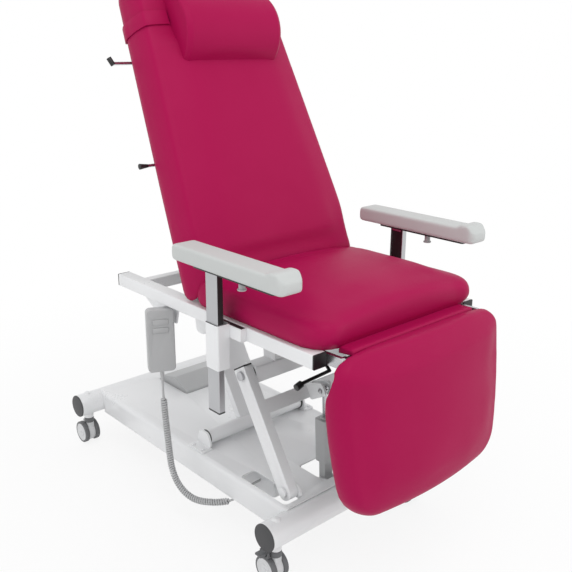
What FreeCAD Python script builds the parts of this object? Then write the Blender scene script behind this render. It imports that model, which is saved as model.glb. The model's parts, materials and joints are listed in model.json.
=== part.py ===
import math
import os

import FreeCAD
import Part

V = FreeCAD.Vector

# Frame: +Z up, -Y to the front, origin on the floor under the middle of the base. Millimetres.

# Fits
RUN = 0.05            # radial running clearance of a pin in its hole
GAP = 0.4             # air between pieces of different bodies
SEAT_GAP = 0.3        # air between a soft solid and the piece it lies on
STRAP_GAP = 0.7       # air between the backrest and the strap or pillow round it
DRAW = 0.16           # how far a cushion's sides are drawn in, of its height
RIM = 42.0            # stretch at a cushion's ends in which its height drops
RIM_DROP = 0.3        # how much of its height it loses there
BOARD_INSET = 22.0    # board's edge inside its cushion's edge

# Base
TUBE_Y = 497.0        # cross tube axes, in front of and behind the middle
TUBE_Z = 147.0
TUBE_R = 38.0
TUBE_HALF = 314.0
TUBE_WALL = 3.0
CAP_T = 4.0           # end cap of a cross tube
DECK_HALF = 236.0
DECK_T = 4.0
DECK_DEPTH = 75.0     # height of the deck with its side flanges
DECK_BEND = 16.0
DECK_OVERLAP = 9.0    # how far the deck stops short of a cross tube's axis
SLOT_REACH = 158.0    # slot in the deck behind the foot of a lift arm
BOLT_R = 5.5

# Casters
CASTER_INSET = 37.0   # a caster's stem inside the end of its cross tube
CASTER_TRAIL = 14.0
WHEEL_R = 37.5
WHEEL_W = 15.0
WHEEL_SPREAD = 19.5   # a wheel's middle from the caster's middle
WHEEL_PIN_R = 5.0
STEM_R = 11.0
STEM_TOP = 128.0
SOCKET_LOW = 96.0     # mouth of the socket under a cross tube
PEDAL_PIVOT = 24.0
PEDAL_Z = 89.0
PEDAL_PIN_R = 2.5

# Lift: two front arms and one rear link of equal length
ARM_FOOT_Y = -440.0
ARM_FOOT_Z = 205.0
ARM_LENGTH = 330.0
ARM_ANGLE = 58.0      # above the level, at the top of the travel
ARM_DEPTH = 50.0
ARM_IN = 170.0        # inner face of an arm
ARM_T = 28.0
PIVOT_R = 9.0
LINK_FOOT_Y = -78.0
LINK_FOOT_Z = 216.0
LINK_TUBE_R = 22.0
LINK_INSET = 52.0     # room beside the link's lower tube for its brackets on the deck
LINK_HALF = 55.0
LINK_T = 24.0
LINK_TOP_R = 20.0
LIFT_TRAVEL = 30.0    # degrees the arms swing down

# Lift motor
MOTOR_FOOT_Y = -403.0
MOTOR_FOOT_Z = 143.0
MOTOR_PIN_S = 215.0   # its upper pin along an arm from the arm's foot
MOTOR_PIN_N = 75.0    # and square to the arm
MOTOR_PIN_R = 6.0
MOTOR_ROD_R = 7.0
MOTOR_W = 44.0
MOTOR_D = 48.0
MOTOR_LOW = 66.0      # lower end of the housing above the foot pin
MOTOR_TOP = 196.0
MOTOR_ROOM = 53.0     # opening in the deck before and behind the foot pin

# Seat frame
RAIL_OUT = 300.0
RAIL_W = 40.0
RAIL_H = 36.0
RAIL_TOP = 693.0
RAIL_WALL = 3.0
RAIL_FRONT = -645.0
RAIL_REAR = 187.0
CROSS_W = 30.0
FRONT_CROSS_Y = -562.0
SEAT_FRONT = -650.0
SEAT_REAR = -182.0
SEAT_HALF = 297.0
SEAT_EDGE = 66.0      # height of the seat cushion at its sides
SEAT_CROWN = 30.0
SEAT_CORNER = 80.0    # plan radius of its front corners
SEAT_CORNER_REAR = 40.0
BOARD_T = 12.0
HINGE_IN = 250.0      # inner face of the plates that carry the backrest and the legrest
HINGE_PIN_R = 8.0
HINGE_BAR_R = 11.0    # bar across the backrest's hinge
HINGE_ROOM = 30.0     # room in the backrest round the plates of its hinge

# Backrest
BACK_Y = -150.0       # hinge
BACK_Z = 705.0
BACK_ANGLE = 25.5     # from upright, at rest
BACK_TRAVEL = 60.0
BACK_LENGTH = 872.0
BACK_START = -4.0     # cushion's lower end along the back
BACK_HALF_LOW = 286.5
BACK_HALF_TOP = 222.0
BACK_THICK = 84.0
BACK_REAR = 11.6      # back of the board behind the hinge
BACK_CROWN = 34.0
BACK_CORNER = 46.0
BACK_CRANK = 72.0
BACK_LEVERS = (665.0, 372.0)
BACK_LEVER_X = -150.0
BACK_LEVER_TIP = -300.0
LEVER_PIN_R = 5.0
PILLOW_HALF = 165.0
PILLOW_H = 230.0
PILLOW_T = 101.0
PILLOW_Z = 712.0      # along the back
PILLOW_DRAW = 12.0    # length that each end is drawn in over
STRAP_Z = 738.0
STRAP_H = 40.0
STRAP_T = 3.0

# Legrest
LEG_Y = -690.0
LEG_Z = 676.0
LEG_ANGLE = 6.5       # from upright, at rest
LEG_TRAVEL = 75.0
LEG_START = -22.0     # cushion's upper end below the hinge
LEG_BOARD_START = 52.0
LEG_ROOM = 24.0       # room in the cushion round the plates of its hinge
LEG_BAR_R = 10.0
LEG_END = 392.0
LEG_HALF = 296.0
LEG_HALF_END = 268.0
LEG_THICK = 58.0
LEG_REAR = 23.8       # back of the board behind the hinge
LEG_CROWN = 26.0
LEG_CORNER = 46.0
LEG_CORNER_END = 86.0
LEG_CRANK = 50.0
ROLL_FRONT = -12.0    # padded strip over the legrest's hinge, from the hinge
ROLL_REAR = 36.0
ROLL_H = 11.0
ROLL_ROUND = 7.0
ROLL_HALF = 246.0
LEG_EAR = 14.0        # bracket above the legrest's hinge
LEG_EAR_ROOT = 30.0   # and above the lower edge of the rail that it is welded to
LEVER_X = -105.0
LEVER_Y = -443.0
LEVER_Z = 610.0

# Gas springs
SPRING_X = 60.0
SPRING_R = 13.0
SPRING_ROD_R = 5.0
SPRING_PIN_R = 5.0
BACK_BARREL = 205.0
BACK_ROD_IN = 30.0    # rod inside the barrel, at rest
LEG_BARREL = 240.0
LEG_ROD_IN = 120.0
BACK_SPRING_Y = -440.0
BACK_SPRING_Z = 634.0
LEG_SPRING_Y = -255.0
LEG_SPRING_Z = 632.0

# Armrests
SLEEVE_OUT = 356.0
SLEEVE_W = 40.0
SLEEVE_Y = -345.0
SLEEVE_D = 52.0
SLEEVE_LOW = 578.0
SLEEVE_TOP = 697.0
SLEEVE_WALL = 2.5
POST_W = 20.0
POST_D = 46.0
POST_LOW = 458.0
POST_TOP = 837.0
PAD_IN = 308.0
PAD_W = 70.0
PAD_FRONT = -628.0
PAD_REAR = -215.0
PAD_T = 42.0
PAD_BUMP = 8.0
BUTTON_R = 8.0
BUTTON_Y = -452.0
BUTTON_TRAVEL = 4.0

PLATE_T = 5.0         # plate under a pad
PLATE_FRONT = -590.0
PLATE_REAR = -290.0

# Battery pack let into the deck
PACK_LEFT = -20.0
PACK_W = 200.0
PACK_FRONT = 262.0
PACK_D = 158.0
PACK_LOW = 128.0
PACK_RIDGE = 35.0     # height of its ridge above the deck
PACK_SHOULDER = 14.0  # height of its rear edge
PACK_RIDGE_Y = 73.0   # ridge behind its front
PACK_ROOM = 8.0       # opening round it
PACK_LIP = 18.0       # flange that holds it under the deck

# Control box under the deck
CONTROL_LEFT = -150.0
CONTROL_W = 110.0
CONTROL_FRONT = -345.0
CONTROL_D = 200.0

# Handset and its cord
HAND_X = -312.0
HAND_Y = -46.0
HAND_TURN = -25.0
HAND_W = 78.0
HAND_T = 26.0
HAND_LOW = 462.0
HAND_TOP = 650.0
RELIEF_LOW = 430.0
KEY_UP_Z = 612.0
KEY_W = 44.0
KEY_H = 16.0
CORD_R = 2.9
COIL_R = 7.0          # curl's middle radius
COIL_PITCH = 7.4
COIL_EASE = 1.5       # how much wider the first and the last turns are
COIL_START = 52.0     # straight cord before the curls
COIL_STOP = 128.0     # and after them
BEND_SHARE = 0.45     # of a run that a bend takes up
CORD_ROUTE = ((HAND_X, HAND_Y, RELIEF_LOW - GAP), (HAND_X, HAND_Y, 372.0), (HAND_X, -50.0, 250.0),
              (HAND_X, -66.0, 132.0), (-300.0, -150.0, 92.0), (-262.0, -222.0, 92.0),
              (-214.0, -268.0, 100.0), (-200.0, -285.0, 150.0), (CONTROL_LEFT - GAP, -285.0, 150.0))

# Worked out from the sizes above
CASTER_X = TUBE_HALF - CASTER_INSET
LINK_TUBE_HALF = DECK_HALF - LINK_INSET
BACK_EDGE = BOARD_T + SEAT_GAP + BACK_THICK
LEG_EDGE = BOARD_T + SEAT_GAP + LEG_THICK
DECK_LOW = TUBE_Z + TUBE_R + SEAT_GAP
DECK_TOP = DECK_LOW + DECK_T
RAIL_LOW = RAIL_TOP - RAIL_H
RAIL_IN = RAIL_OUT - RAIL_W
ARM_OUT = ARM_IN + ARM_T
ARM_RISE = math.radians(ARM_ANGLE)
SEAT_PIVOT_Y = ARM_FOOT_Y + ARM_LENGTH * math.cos(ARM_RISE)
SEAT_PIVOT_Z = ARM_FOOT_Z + ARM_LENGTH * math.sin(ARM_RISE)
LINK_TOP_Y = LINK_FOOT_Y + ARM_LENGTH * math.cos(ARM_RISE)
LINK_TOP_Z = LINK_FOOT_Z + ARM_LENGTH * math.sin(ARM_RISE)
PLANES = {"x": (V(0, 1, 0), V(0, 0, 1), V(1, 0, 0)),
          "y": (V(1, 0, 0), V(0, 0, 1), V(0, 1, 0)),
          "z": (V(1, 0, 0), V(0, 1, 0), V(0, 0, 1))}
LEFT = -1
RIGHT = 1


def box(x0, x1, y0, y1, z0, z1):
    """A box between two opposite corners, given in any order along X."""
    low = min(x0, x1)
    return Part.makeBox(abs(x1 - x0), y1 - y0, z1 - z0, V(low, y0, z0))


def rod(start, end, radius):
    """A round bar from one point to another."""
    line = end - start
    return Part.makeCylinder(radius, line.Length, start, line)


def outline(points, radius, axis, at):
    """A closed wire through points, square to an axis, with its corners rounded."""
    u, v, n = PLANES[axis]
    corners = [u * p[0] + v * p[1] + n * at for p in points]
    edges = []
    ends = []
    for i, corner in enumerate(corners):
        back = corners[i - 1] - corner
        ahead = corners[(i + 1) % len(corners)] - corner
        half = back.getAngle(ahead) / 2.0
        reach = min(radius / math.tan(half), 0.45 * back.Length, 0.45 * ahead.Length)
        if reach < 0.01:
            ends.append((corner, corner))
            continue
        bow = reach * math.tan(half)
        middle = back.normalize() + ahead.normalize()
        middle = corner + middle.normalize() * (bow / math.sin(half) - bow)
        first = corner + back * reach
        last = corner + ahead * reach
        edges.append((i, Part.Arc(first, middle, last).toShape()))
        ends.append((first, last))
    arcs = dict(edges)
    chain = []
    for i in range(len(corners)):
        if i in arcs:
            chain.append(arcs[i])
        chain.append(Part.makeLine(ends[i][1], ends[(i + 1) % len(corners)][0]))
    return Part.Wire(chain)


def plate(points, radius, axis, start, end):
    """A flat plate: an outline drawn square to an axis and carried along it."""
    low = min(start, end)
    face = Part.Face(outline(points, radius, axis, low))
    return face.extrude(PLANES[axis][2] * abs(end - start))


def block(x0, x1, y0, y1, z0, z1, radius, axis):
    """A box whose edges along one axis are rounded."""
    spans = {"x": ((y0, y1), (z0, z1), (x0, x1)),
             "y": ((x0, x1), (z0, z1), (y0, y1)),
             "z": ((x0, x1), (y0, y1), (z0, z1))}
    (u0, u1), (v0, v1), (n0, n1) = spans[axis]
    return plate([(u0, v0), (u1, v0), (u1, v1), (u0, v1)], radius, axis, n0, n1)


def mirrored(shape):
    """The same shape on the other side of the chair."""
    return shape.mirror(V(0, 0, 0), V(1, 0, 0))


def both(shape):
    """A pair of solids, one on each side."""
    return Part.makeCompound([shape, mirrored(shape)])


def fused(shapes):
    """One solid from shapes that meet."""
    return shapes[0].fuse(shapes[1:]).removeSplitter()


def spun(y, z, degrees):
    """A point of the YZ plane turned about the origin, as a hinge along X turns it."""
    a = math.radians(degrees)
    return y * math.cos(a) - z * math.sin(a), y * math.sin(a) + z * math.cos(a)


def cushion_swell(share):
    """How full a cushion's crown is at a share of its length."""
    return 1.0 - 0.8 * (share - 0.5) ** 2


def cushion_section(axis, at, half, low, edge, crown, draw):
    """A cushion's cross-section: flat below, crowned above, with bowed sides that are drawn in."""
    u, v, n = PLANES[axis]

    def point(a, b):
        return u * a + v * b + n * at

    top = low + edge
    belly = low + 0.45 * edge
    brow = half - 1.6 * draw
    over = Part.Arc(point(brow, top), point(0, top + crown), point(-brow, top)).toShape()
    right = Part.Arc(point(half - draw, low), point(half, belly), point(brow, top)).toShape()
    left = Part.Arc(point(-brow, top), point(-half, belly), point(draw - half, low)).toShape()
    return Part.Wire([right, over, left, Part.makeLine(point(draw - half, low), point(half - draw, low))])


def quarter(reach, radius):
    """Height of a quarter circle of radius 1 at a share reach / radius of its width."""
    short = 1.0 - min(1.0, reach / radius)
    return math.sqrt(1.0 - short * short)


def cushion(axis, start, end, half_start, half_end, low, edge, crown, corner_start, corner_end):
    """A cushion that swells in the middle, with rounded corners and a lower rim at both ends."""
    length = end - start
    turns = [math.radians(15.0 * i) for i in range(7)]
    near = [corner_start * (1.0 - math.cos(a)) for a in turns]
    far = [length - corner_end * (1.0 - math.cos(a)) for a in reversed(turns)]
    wires = []
    for at in near + [share * length for share in (0.35, 0.5, 0.65)] + far:
        share = at / length
        fill = 1.0 - RIM_DROP * (1.0 - quarter(min(at, length - at), RIM))
        half = half_start + (half_end - half_start) * share
        half -= corner_start * (1.0 - quarter(at, corner_start))
        half -= corner_end * (1.0 - quarter(length - at, corner_end))
        swell = crown * fill * cushion_swell(share)
        wires.append(cushion_section(axis, start + at, half, low, edge * fill, swell, DRAW * edge))
    return Part.makeLoft(wires, True, True)


class Strut:
    """A length that changes between a foot pin and a pin on a body that swings about a hinge.

    The pins and the hinge are points (y, z), and both turns follow the hinge's turn by constant ratios.
    """

    def __init__(self, foot, pin, hinge, travel):
        self.foot = foot
        self.pin = pin
        self.hinge = hinge
        self.travel = travel
        steps = [travel * i / 24.0 for i in range(1, 25)]
        self.tilt = 0.0
        self.length, self.tilt = self.reach(0.0)
        pull = sum(q * (self.reach(q)[0] - self.length) for q in steps)
        swing = sum(q * (self.reach(q)[1] - self.tilt) for q in steps)
        square = sum(q * q for q in steps)
        self.slide_per_degree = pull / square
        self.turn_ratio = swing / square

    def reach(self, degrees):
        """Length and tilt, in degrees, that the pin needs at a turn of the hinge."""
        y, z = spun(self.pin[0] - self.hinge[0], self.pin[1] - self.hinge[1], degrees)
        y += self.hinge[0] - self.foot[0]
        z += self.hinge[1] - self.foot[1]
        tilt = math.degrees(math.atan2(z, y))
        return math.hypot(y, z), self.tilt + (tilt - self.tilt + 180.0) % 360.0 - 180.0

    def window(self):
        """How far the strut's own pin strays from the swinging body's point: low and high along Y and Z."""
        strays = []
        for i in range(25):
            q = self.travel * i / 24.0
            length = self.length + self.slide_per_degree * q
            tilt = math.radians(self.tilt + self.turn_ratio * q)
            y = self.foot[0] + length * math.cos(tilt) - self.hinge[0]
            z = self.foot[1] + length * math.sin(tilt) - self.hinge[1]
            y, z = spun(y, z, -q)
            strays.append((y + self.hinge[0] - self.pin[0], z + self.hinge[1] - self.pin[1]))
        ys = [s[0] for s in strays]
        zs = [s[1] for s in strays]
        return min(ys), max(ys), min(zs), max(zs)

    def cutter(self, pin_radius, x0, x1):
        """The hole in the swinging body's lug, large enough for the pin at every turn."""
        y0, y1, z0, z1 = self.window()
        room = pin_radius + GAP
        y, z = self.pin
        return block(x0, x1, y + y0 - room, y + y1 + room, z + z0 - room, z + z1 + room, room, "x")


def arm_point(along, square):
    """A point (y, z) given along an arm from its foot and square to it, to the front."""
    c, s = math.cos(ARM_RISE), math.sin(ARM_RISE)
    return ARM_FOOT_Y + along * c - square * s, ARM_FOOT_Z + along * s + square * c


LIFT_STRUT = Strut((MOTOR_FOOT_Y, MOTOR_FOOT_Z), arm_point(MOTOR_PIN_S, MOTOR_PIN_N),
                   (ARM_FOOT_Y, ARM_FOOT_Z), -LIFT_TRAVEL)
BACK_LEAN = math.radians(BACK_TRAVEL / 2.0)
BACK_STRUT = Strut((BACK_SPRING_Y, BACK_SPRING_Z),
                   (BACK_Y + BACK_CRANK * math.sin(BACK_LEAN), BACK_Z - BACK_CRANK * math.cos(BACK_LEAN)),
                   (BACK_Y, BACK_Z), -BACK_TRAVEL)
LEG_LEAN = math.radians(LEG_TRAVEL / 2.0)
LEG_STRUT = Strut((LEG_SPRING_Y, LEG_SPRING_Z),
                  (LEG_Y + LEG_CRANK * math.sin(LEG_LEAN), LEG_Z - LEG_CRANK * math.cos(LEG_LEAN)),
                  (LEG_Y, LEG_Z), -LEG_TRAVEL)


def base_nodes():
    """The wheeled base: two cross tubes, the folded deck between them, brackets and electrics."""
    out = {}
    hollow_low = DECK_TOP - DECK_DEPTH
    deep = 40.0
    reach = TUBE_Y - DECK_OVERLAP
    shell = block(-DECK_HALF, DECK_HALF, -reach, reach, hollow_low - deep, DECK_TOP, DECK_BEND, "y")
    inside = DECK_HALF - DECK_T
    shell = shell.cut(block(-inside, inside, -reach, reach, hollow_low - deep - 9.0, DECK_LOW,
                            DECK_BEND - DECK_T, "y"))
    shell = shell.cut(box(-DECK_HALF, DECK_HALF, -reach, reach, hollow_low - deep - 9.0, hollow_low))
    for end in (-1, 1):
        y = end * TUBE_Y
        shell = shell.cut(rod(V(-TUBE_HALF, y, TUBE_Z), V(TUBE_HALF, y, TUBE_Z), TUBE_R + SEAT_GAP))
        near = sorted((end * reach, end * (TUBE_Y - TUBE_R - 2.0)))
        shell = shell.cut(box(-DECK_HALF, DECK_HALF, near[0], near[1], hollow_low - 1.0, TUBE_Z))
    cut_low, cut_top = DECK_LOW - 1.0, DECK_TOP + 1.0
    pack_right = PACK_LEFT + PACK_W
    pack_rear = PACK_FRONT + PACK_D
    openings = [block(PACK_LEFT - PACK_ROOM, pack_right + PACK_ROOM, PACK_FRONT - PACK_ROOM,
                      pack_rear + PACK_ROOM, cut_low, cut_top, 10.0, "z"),
                block(-60.0, 60.0, MOTOR_FOOT_Y - MOTOR_ROOM, MOTOR_FOOT_Y + MOTOR_ROOM,
                      cut_low, cut_top, 6.0, "z")]
    slot = block(ARM_IN - 1.0, ARM_OUT + 24.0, ARM_FOOT_Y - 32.0, ARM_FOOT_Y + SLOT_REACH,
                 cut_low, cut_top, 12.0, "z")
    out["base_deck"] = shell.cut(openings + [slot, mirrored(slot)])

    for name, end in (("front_cross_tube", -1), ("rear_cross_tube", 1)):
        y = end * TUBE_Y
        tube = rod(V(-TUBE_HALF, y, TUBE_Z), V(TUBE_HALF, y, TUBE_Z), TUBE_R)
        tube = tube.cut(rod(V(-TUBE_HALF, y, TUBE_Z), V(TUBE_HALF, y, TUBE_Z), TUBE_R - TUBE_WALL))
        boss = Part.makeCylinder(STEM_R + 5.0, TUBE_Z - SOCKET_LOW, V(CASTER_X, y, SOCKET_LOW))
        tube = tube.fuse([boss, mirrored(boss)])
        hole = Part.makeCylinder(STEM_R + RUN, STEM_TOP - SOCKET_LOW + 1.0, V(CASTER_X, y, SOCKET_LOW))
        out[name] = tube.cut([hole, mirrored(hole)]).removeSplitter()

    caps = []
    for end in (-1, 1):
        cap = Part.makeCylinder(TUBE_R, CAP_T, V(TUBE_HALF, end * TUBE_Y, TUBE_Z), V(1, 0, 0))
        rim = [e for e in cap.Edges if e.BoundBox.XMin > TUBE_HALF + 0.5 * CAP_T]
        cap = cap.makeChamfer(1.5, rim)
        caps += [cap, mirrored(cap)]
    out["tube_end_caps"] = Part.makeCompound(caps)

    ear_in = ARM_IN - 8.0
    ear = plate([(ARM_FOOT_Y - 46, DECK_TOP), (ARM_FOOT_Y + 46, DECK_TOP), (ARM_FOOT_Y + 18, ARM_FOOT_Z + 22),
                 (ARM_FOOT_Y - 18, ARM_FOOT_Z + 22)], 12.0, "x", ear_in, ARM_IN - 1.5)
    ear = ear.cut(box(ear_in - 1, ARM_IN, ARM_FOOT_Y - 50, ARM_FOOT_Y + 50, 0, DECK_TOP))
    stub = rod(V(ear_in + 1.0, ARM_FOOT_Y, ARM_FOOT_Z), V(ARM_OUT + 1.0, ARM_FOOT_Y, ARM_FOOT_Z), PIVOT_R)
    out["lift_arm_brackets"] = both(ear.fuse(stub).removeSplitter())

    ear_x = LINK_TUBE_HALF + 6.0
    bolt_x = ear_x + 5.0 * BOLT_R
    foot_x = bolt_x + 2.0 * BOLT_R
    ear = plate([(LINK_FOOT_Y - 40, DECK_TOP), (LINK_FOOT_Y + 40, DECK_TOP),
                 (LINK_FOOT_Y + 20, LINK_FOOT_Z + 24), (LINK_FOOT_Y - 20, LINK_FOOT_Z + 24)],
                16.0, "x", ear_x, ear_x + 7.0)
    ear = ear.cut(box(ear_x - 1, ear_x + 9, LINK_FOOT_Y - 50, LINK_FOOT_Y + 50, 0, DECK_TOP))
    foot = block(ear_x, foot_x, LINK_FOOT_Y - 36, LINK_FOOT_Y + 36, DECK_TOP, DECK_TOP + 5.0, 5.0, "z")
    stub = rod(V(ear_x - 26.0, LINK_FOOT_Y, LINK_FOOT_Z), V(ear_x + 1.0, LINK_FOOT_Y, LINK_FOOT_Z), PIVOT_R)
    out["rear_link_brackets"] = both(fused([ear, foot, stub]))

    lug = plate([(-TUBE_Y + TUBE_R - 6, TUBE_Z - 22), (MOTOR_FOOT_Y + 13, MOTOR_FOOT_Z - 13),
                 (MOTOR_FOOT_Y + 13, MOTOR_FOOT_Z + 13), (-TUBE_Y + TUBE_R - 6, TUBE_Z + 22)],
                8.0, "x", 16.0, 22.0)
    pin = rod(V(-21, MOTOR_FOOT_Y, MOTOR_FOOT_Z), V(21, MOTOR_FOOT_Y, MOTOR_FOOT_Z), MOTOR_PIN_R)
    bracket = fused([lug, mirrored(lug), pin])
    out["motor_bracket"] = bracket.cut(rod(V(-90, -TUBE_Y, TUBE_Z), V(90, -TUBE_Y, TUBE_Z), TUBE_R + RUN))

    bolts = [rod(V(ARM_OUT + 1.0, ARM_FOOT_Y, ARM_FOOT_Z), V(ARM_OUT + 8.0, ARM_FOOT_Y, ARM_FOOT_Z), 13.0)]
    for y in (LINK_FOOT_Y - 22.0, LINK_FOOT_Y + 22.0):
        bolts.append(Part.makeCylinder(BOLT_R, 4.0, V(bolt_x, y, DECK_TOP + 5.0)))
    for end in (-1, 1):
        y = end * TUBE_Y
        dome = Part.makeSphere(14.0, V(CASTER_X, y, TUBE_Z + TUBE_R - 7.0))
        bolts.append(dome.cut(rod(V(0, y, TUBE_Z), V(TUBE_HALF, y, TUBE_Z), TUBE_R)))
    out["base_bolts"] = Part.makeCompound(bolts + [mirrored(b) for b in bolts])

    out["control_box"] = block(CONTROL_LEFT, CONTROL_LEFT + CONTROL_W,
                               CONTROL_FRONT, CONTROL_FRONT + CONTROL_D,
                               DECK_TOP - DECK_DEPTH + 4.0, DECK_LOW, 8.0, "z")
    pack = plate([(PACK_FRONT, PACK_LOW), (pack_rear, PACK_LOW), (pack_rear, DECK_TOP + PACK_SHOULDER),
                  (PACK_FRONT + PACK_RIDGE_Y, DECK_TOP + PACK_RIDGE), (PACK_FRONT, DECK_TOP + 3.0)],
                 9.0, "x", PACK_LEFT, pack_right)
    lip = box(PACK_LEFT - PACK_LIP, pack_right + PACK_LIP, PACK_FRONT, pack_rear, DECK_LOW - 6.0, DECK_LOW)
    out["battery_pack"] = fused([pack, lip])
    return out


def caster_nodes():
    """Four swivelling twin-wheel casters; the front two have a brake pedal."""
    out = {}
    for name, side, end in (("front_left", LEFT, -1), ("front_right", RIGHT, -1),
                            ("rear_left", LEFT, 1), ("rear_right", RIGHT, 1)):
        x = side * CASTER_X
        y = end * TUBE_Y
        axle_y = y + CASTER_TRAIL
        outer = WHEEL_SPREAD + WHEEL_W / 2.0 + 2.0
        rib_half = WHEEL_SPREAD - WHEEL_W / 2.0 - 1.0
        rib = rod(V(x - rib_half, axle_y, WHEEL_R), V(x + rib_half, axle_y, WHEEL_R), WHEEL_R - 4.0)
        collar_low = SOCKET_LOW - 18.0
        neck = box(x - rib_half, x + rib_half, y - STEM_R, axle_y + STEM_R, WHEEL_R, collar_low + 2.0)
        axle = rod(V(x - outer, axle_y, WHEEL_R), V(x + outer, axle_y, WHEEL_R), WHEEL_PIN_R)
        stem = Part.makeCylinder(STEM_R, STEM_TOP - collar_low, V(x, y, collar_low))
        collar = Part.makeCylinder(STEM_R + 5.0, 16.0, V(x, y, collar_low))
        pieces = [rib, neck, axle, stem, collar]
        if end < 0:
            pieces += pedal_ears(x, side, axle_y)
            out["caster_%s_pedal" % name] = pedal(x, side, axle_y)
        out["caster_%s_fork" % name] = fused(pieces)
        wheels = []
        for offset in (-WHEEL_SPREAD, WHEEL_SPREAD):
            start = x + offset - WHEEL_W / 2.0
            wheel = Part.makeCylinder(WHEEL_R, WHEEL_W, V(start, axle_y, WHEEL_R), V(1, 0, 0))
            wheel = wheel.makeChamfer(2.5, [e for e in wheel.Edges if e.BoundBox.XLength < 0.1])
            bore = rod(V(start, axle_y, WHEEL_R), V(start + WHEEL_W, axle_y, WHEEL_R), WHEEL_PIN_R + RUN)
            wheels.append(wheel.cut(bore))
        out["caster_%s_wheels" % name] = Part.makeCompound(wheels)
    return out


def pedal_ears(x, side, axle_y):
    """A guard over the outer wheel, with the two ears and the pin that a brake pedal turns on."""
    at = x + side * PEDAL_PIVOT
    low = 2.0 * WHEEL_R + 1.5
    ear = 3.5
    guard = box(x, at + side * ear, axle_y - 14.0, axle_y + 18.0, low, low + 3.5)
    ears = [box(at - ear, at + ear, axle_y + y, axle_y + y + 4.0, low, PEDAL_Z + 4.0) for y in (-14.0, 14.0)]
    return [guard] + ears + [rod(V(at, axle_y - 12.0, PEDAL_Z), V(at, axle_y + 16.0, PEDAL_Z), PEDAL_PIN_R)]


def pedal(x, side, axle_y):
    """A brake pedal that reaches outwards over its caster."""
    at = x + side * PEDAL_PIVOT
    tip = x + side * (PEDAL_PIVOT + 24.0)
    tread = block(at - side * 6.0, tip, axle_y - 9.5, axle_y + 13.5, PEDAL_Z - 2.5, PEDAL_Z + 3.5, 2.0, "y")
    tread = tread.fuse(rod(V(at, axle_y - 9.5, PEDAL_Z), V(at, axle_y + 13.5, PEDAL_Z), PEDAL_PIN_R + 2.5))
    bore = rod(V(at, axle_y - 20, PEDAL_Z), V(at, axle_y + 25, PEDAL_Z), PEDAL_PIN_R + RUN)
    return tread.cut(bore).removeSplitter()


def lift_nodes():
    """The lift: two front arms in one frame, one wide rear link and the motor that drives them."""
    out = {}
    top = ARM_LENGTH + 21.0
    half = ARM_DEPTH / 2.0

    def stretch(start, end, radius):
        """A stretch of the right arm between two distances from its foot."""
        corners = [arm_point(*c) for c in ((start, half), (start, -half), (end, -half), (end, half))]
        return plate(corners, radius, "x", ARM_IN, ARM_OUT)

    arm = stretch(-half, 120.0, half).fuse(stretch(60.0, top, 3.0))
    strip = plate([arm_point(208, 12), arm_point(208, 25), arm_point(248, 25), arm_point(248, 12)], 2.0,
                  "x", -ARM_IN, ARM_IN)
    lugs = []
    for x in (-17.0, 11.0):
        high = MOTOR_PIN_N + 16.0
        corners = ((200, 20), (MOTOR_PIN_S - 18, high), (MOTOR_PIN_S + 18, high), (252, 20))
        lugs.append(plate([arm_point(*c) for c in corners], 10.0, "x", x, x + 6.0))
    frame = fused([arm, mirrored(arm), strip] + lugs)
    holes = [rod(V(ARM_IN - 1, y, z), V(ARM_OUT + 1, y, z), PIVOT_R + RUN)
             for y, z in ((ARM_FOOT_Y, ARM_FOOT_Z), (SEAT_PIVOT_Y, SEAT_PIVOT_Z))]
    holes += [mirrored(h) for h in holes]
    out["lift_frame"] = frame.cut(holes + [LIFT_STRUT.cutter(MOTOR_PIN_R, -30, 30)])
    out["lift_arm_caps"] = both(stretch(top, top + CAP_T, 1.5))

    def link_point(along, square):
        y, z = arm_point(along, square)
        return y + LINK_FOOT_Y - ARM_FOOT_Y, z + LINK_FOOT_Z - ARM_FOOT_Z

    def foot_rod(start, end, radius):
        return rod(V(start, LINK_FOOT_Y, LINK_FOOT_Z), V(end, LINK_FOOT_Y, LINK_FOOT_Z), radius)

    def top_rod(half_length, radius):
        return rod(V(-half_length, LINK_TOP_Y, LINK_TOP_Z), V(half_length, LINK_TOP_Y, LINK_TOP_Z), radius)

    thick = LINK_T / 2.0
    high_half = LINK_HALF + 7.0
    web = plate([link_point(0, thick), link_point(0, -thick), link_point(ARM_LENGTH, -thick),
                 link_point(ARM_LENGTH, thick)], 0.0, "x", -LINK_HALF, LINK_HALF)
    link = fused([foot_rod(-LINK_TUBE_HALF, LINK_TUBE_HALF, LINK_TUBE_R), top_rod(high_half, LINK_TOP_R), web])
    bore = foot_rod(-LINK_TUBE_HALF, -LINK_TUBE_HALF + 30.0, PIVOT_R + RUN)
    out["rear_link"] = link.cut([bore, mirrored(bore), top_rod(high_half, PIVOT_R + GAP)])
    washer = foot_rod(LINK_TUBE_HALF, LINK_TUBE_HALF + 4.5, LINK_TUBE_R + 2.0)
    out["rear_link_caps"] = both(washer.cut(foot_rod(0.0, RAIL_OUT, PIVOT_R + GAP)))
    out.update(motor_nodes())
    return out


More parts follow.
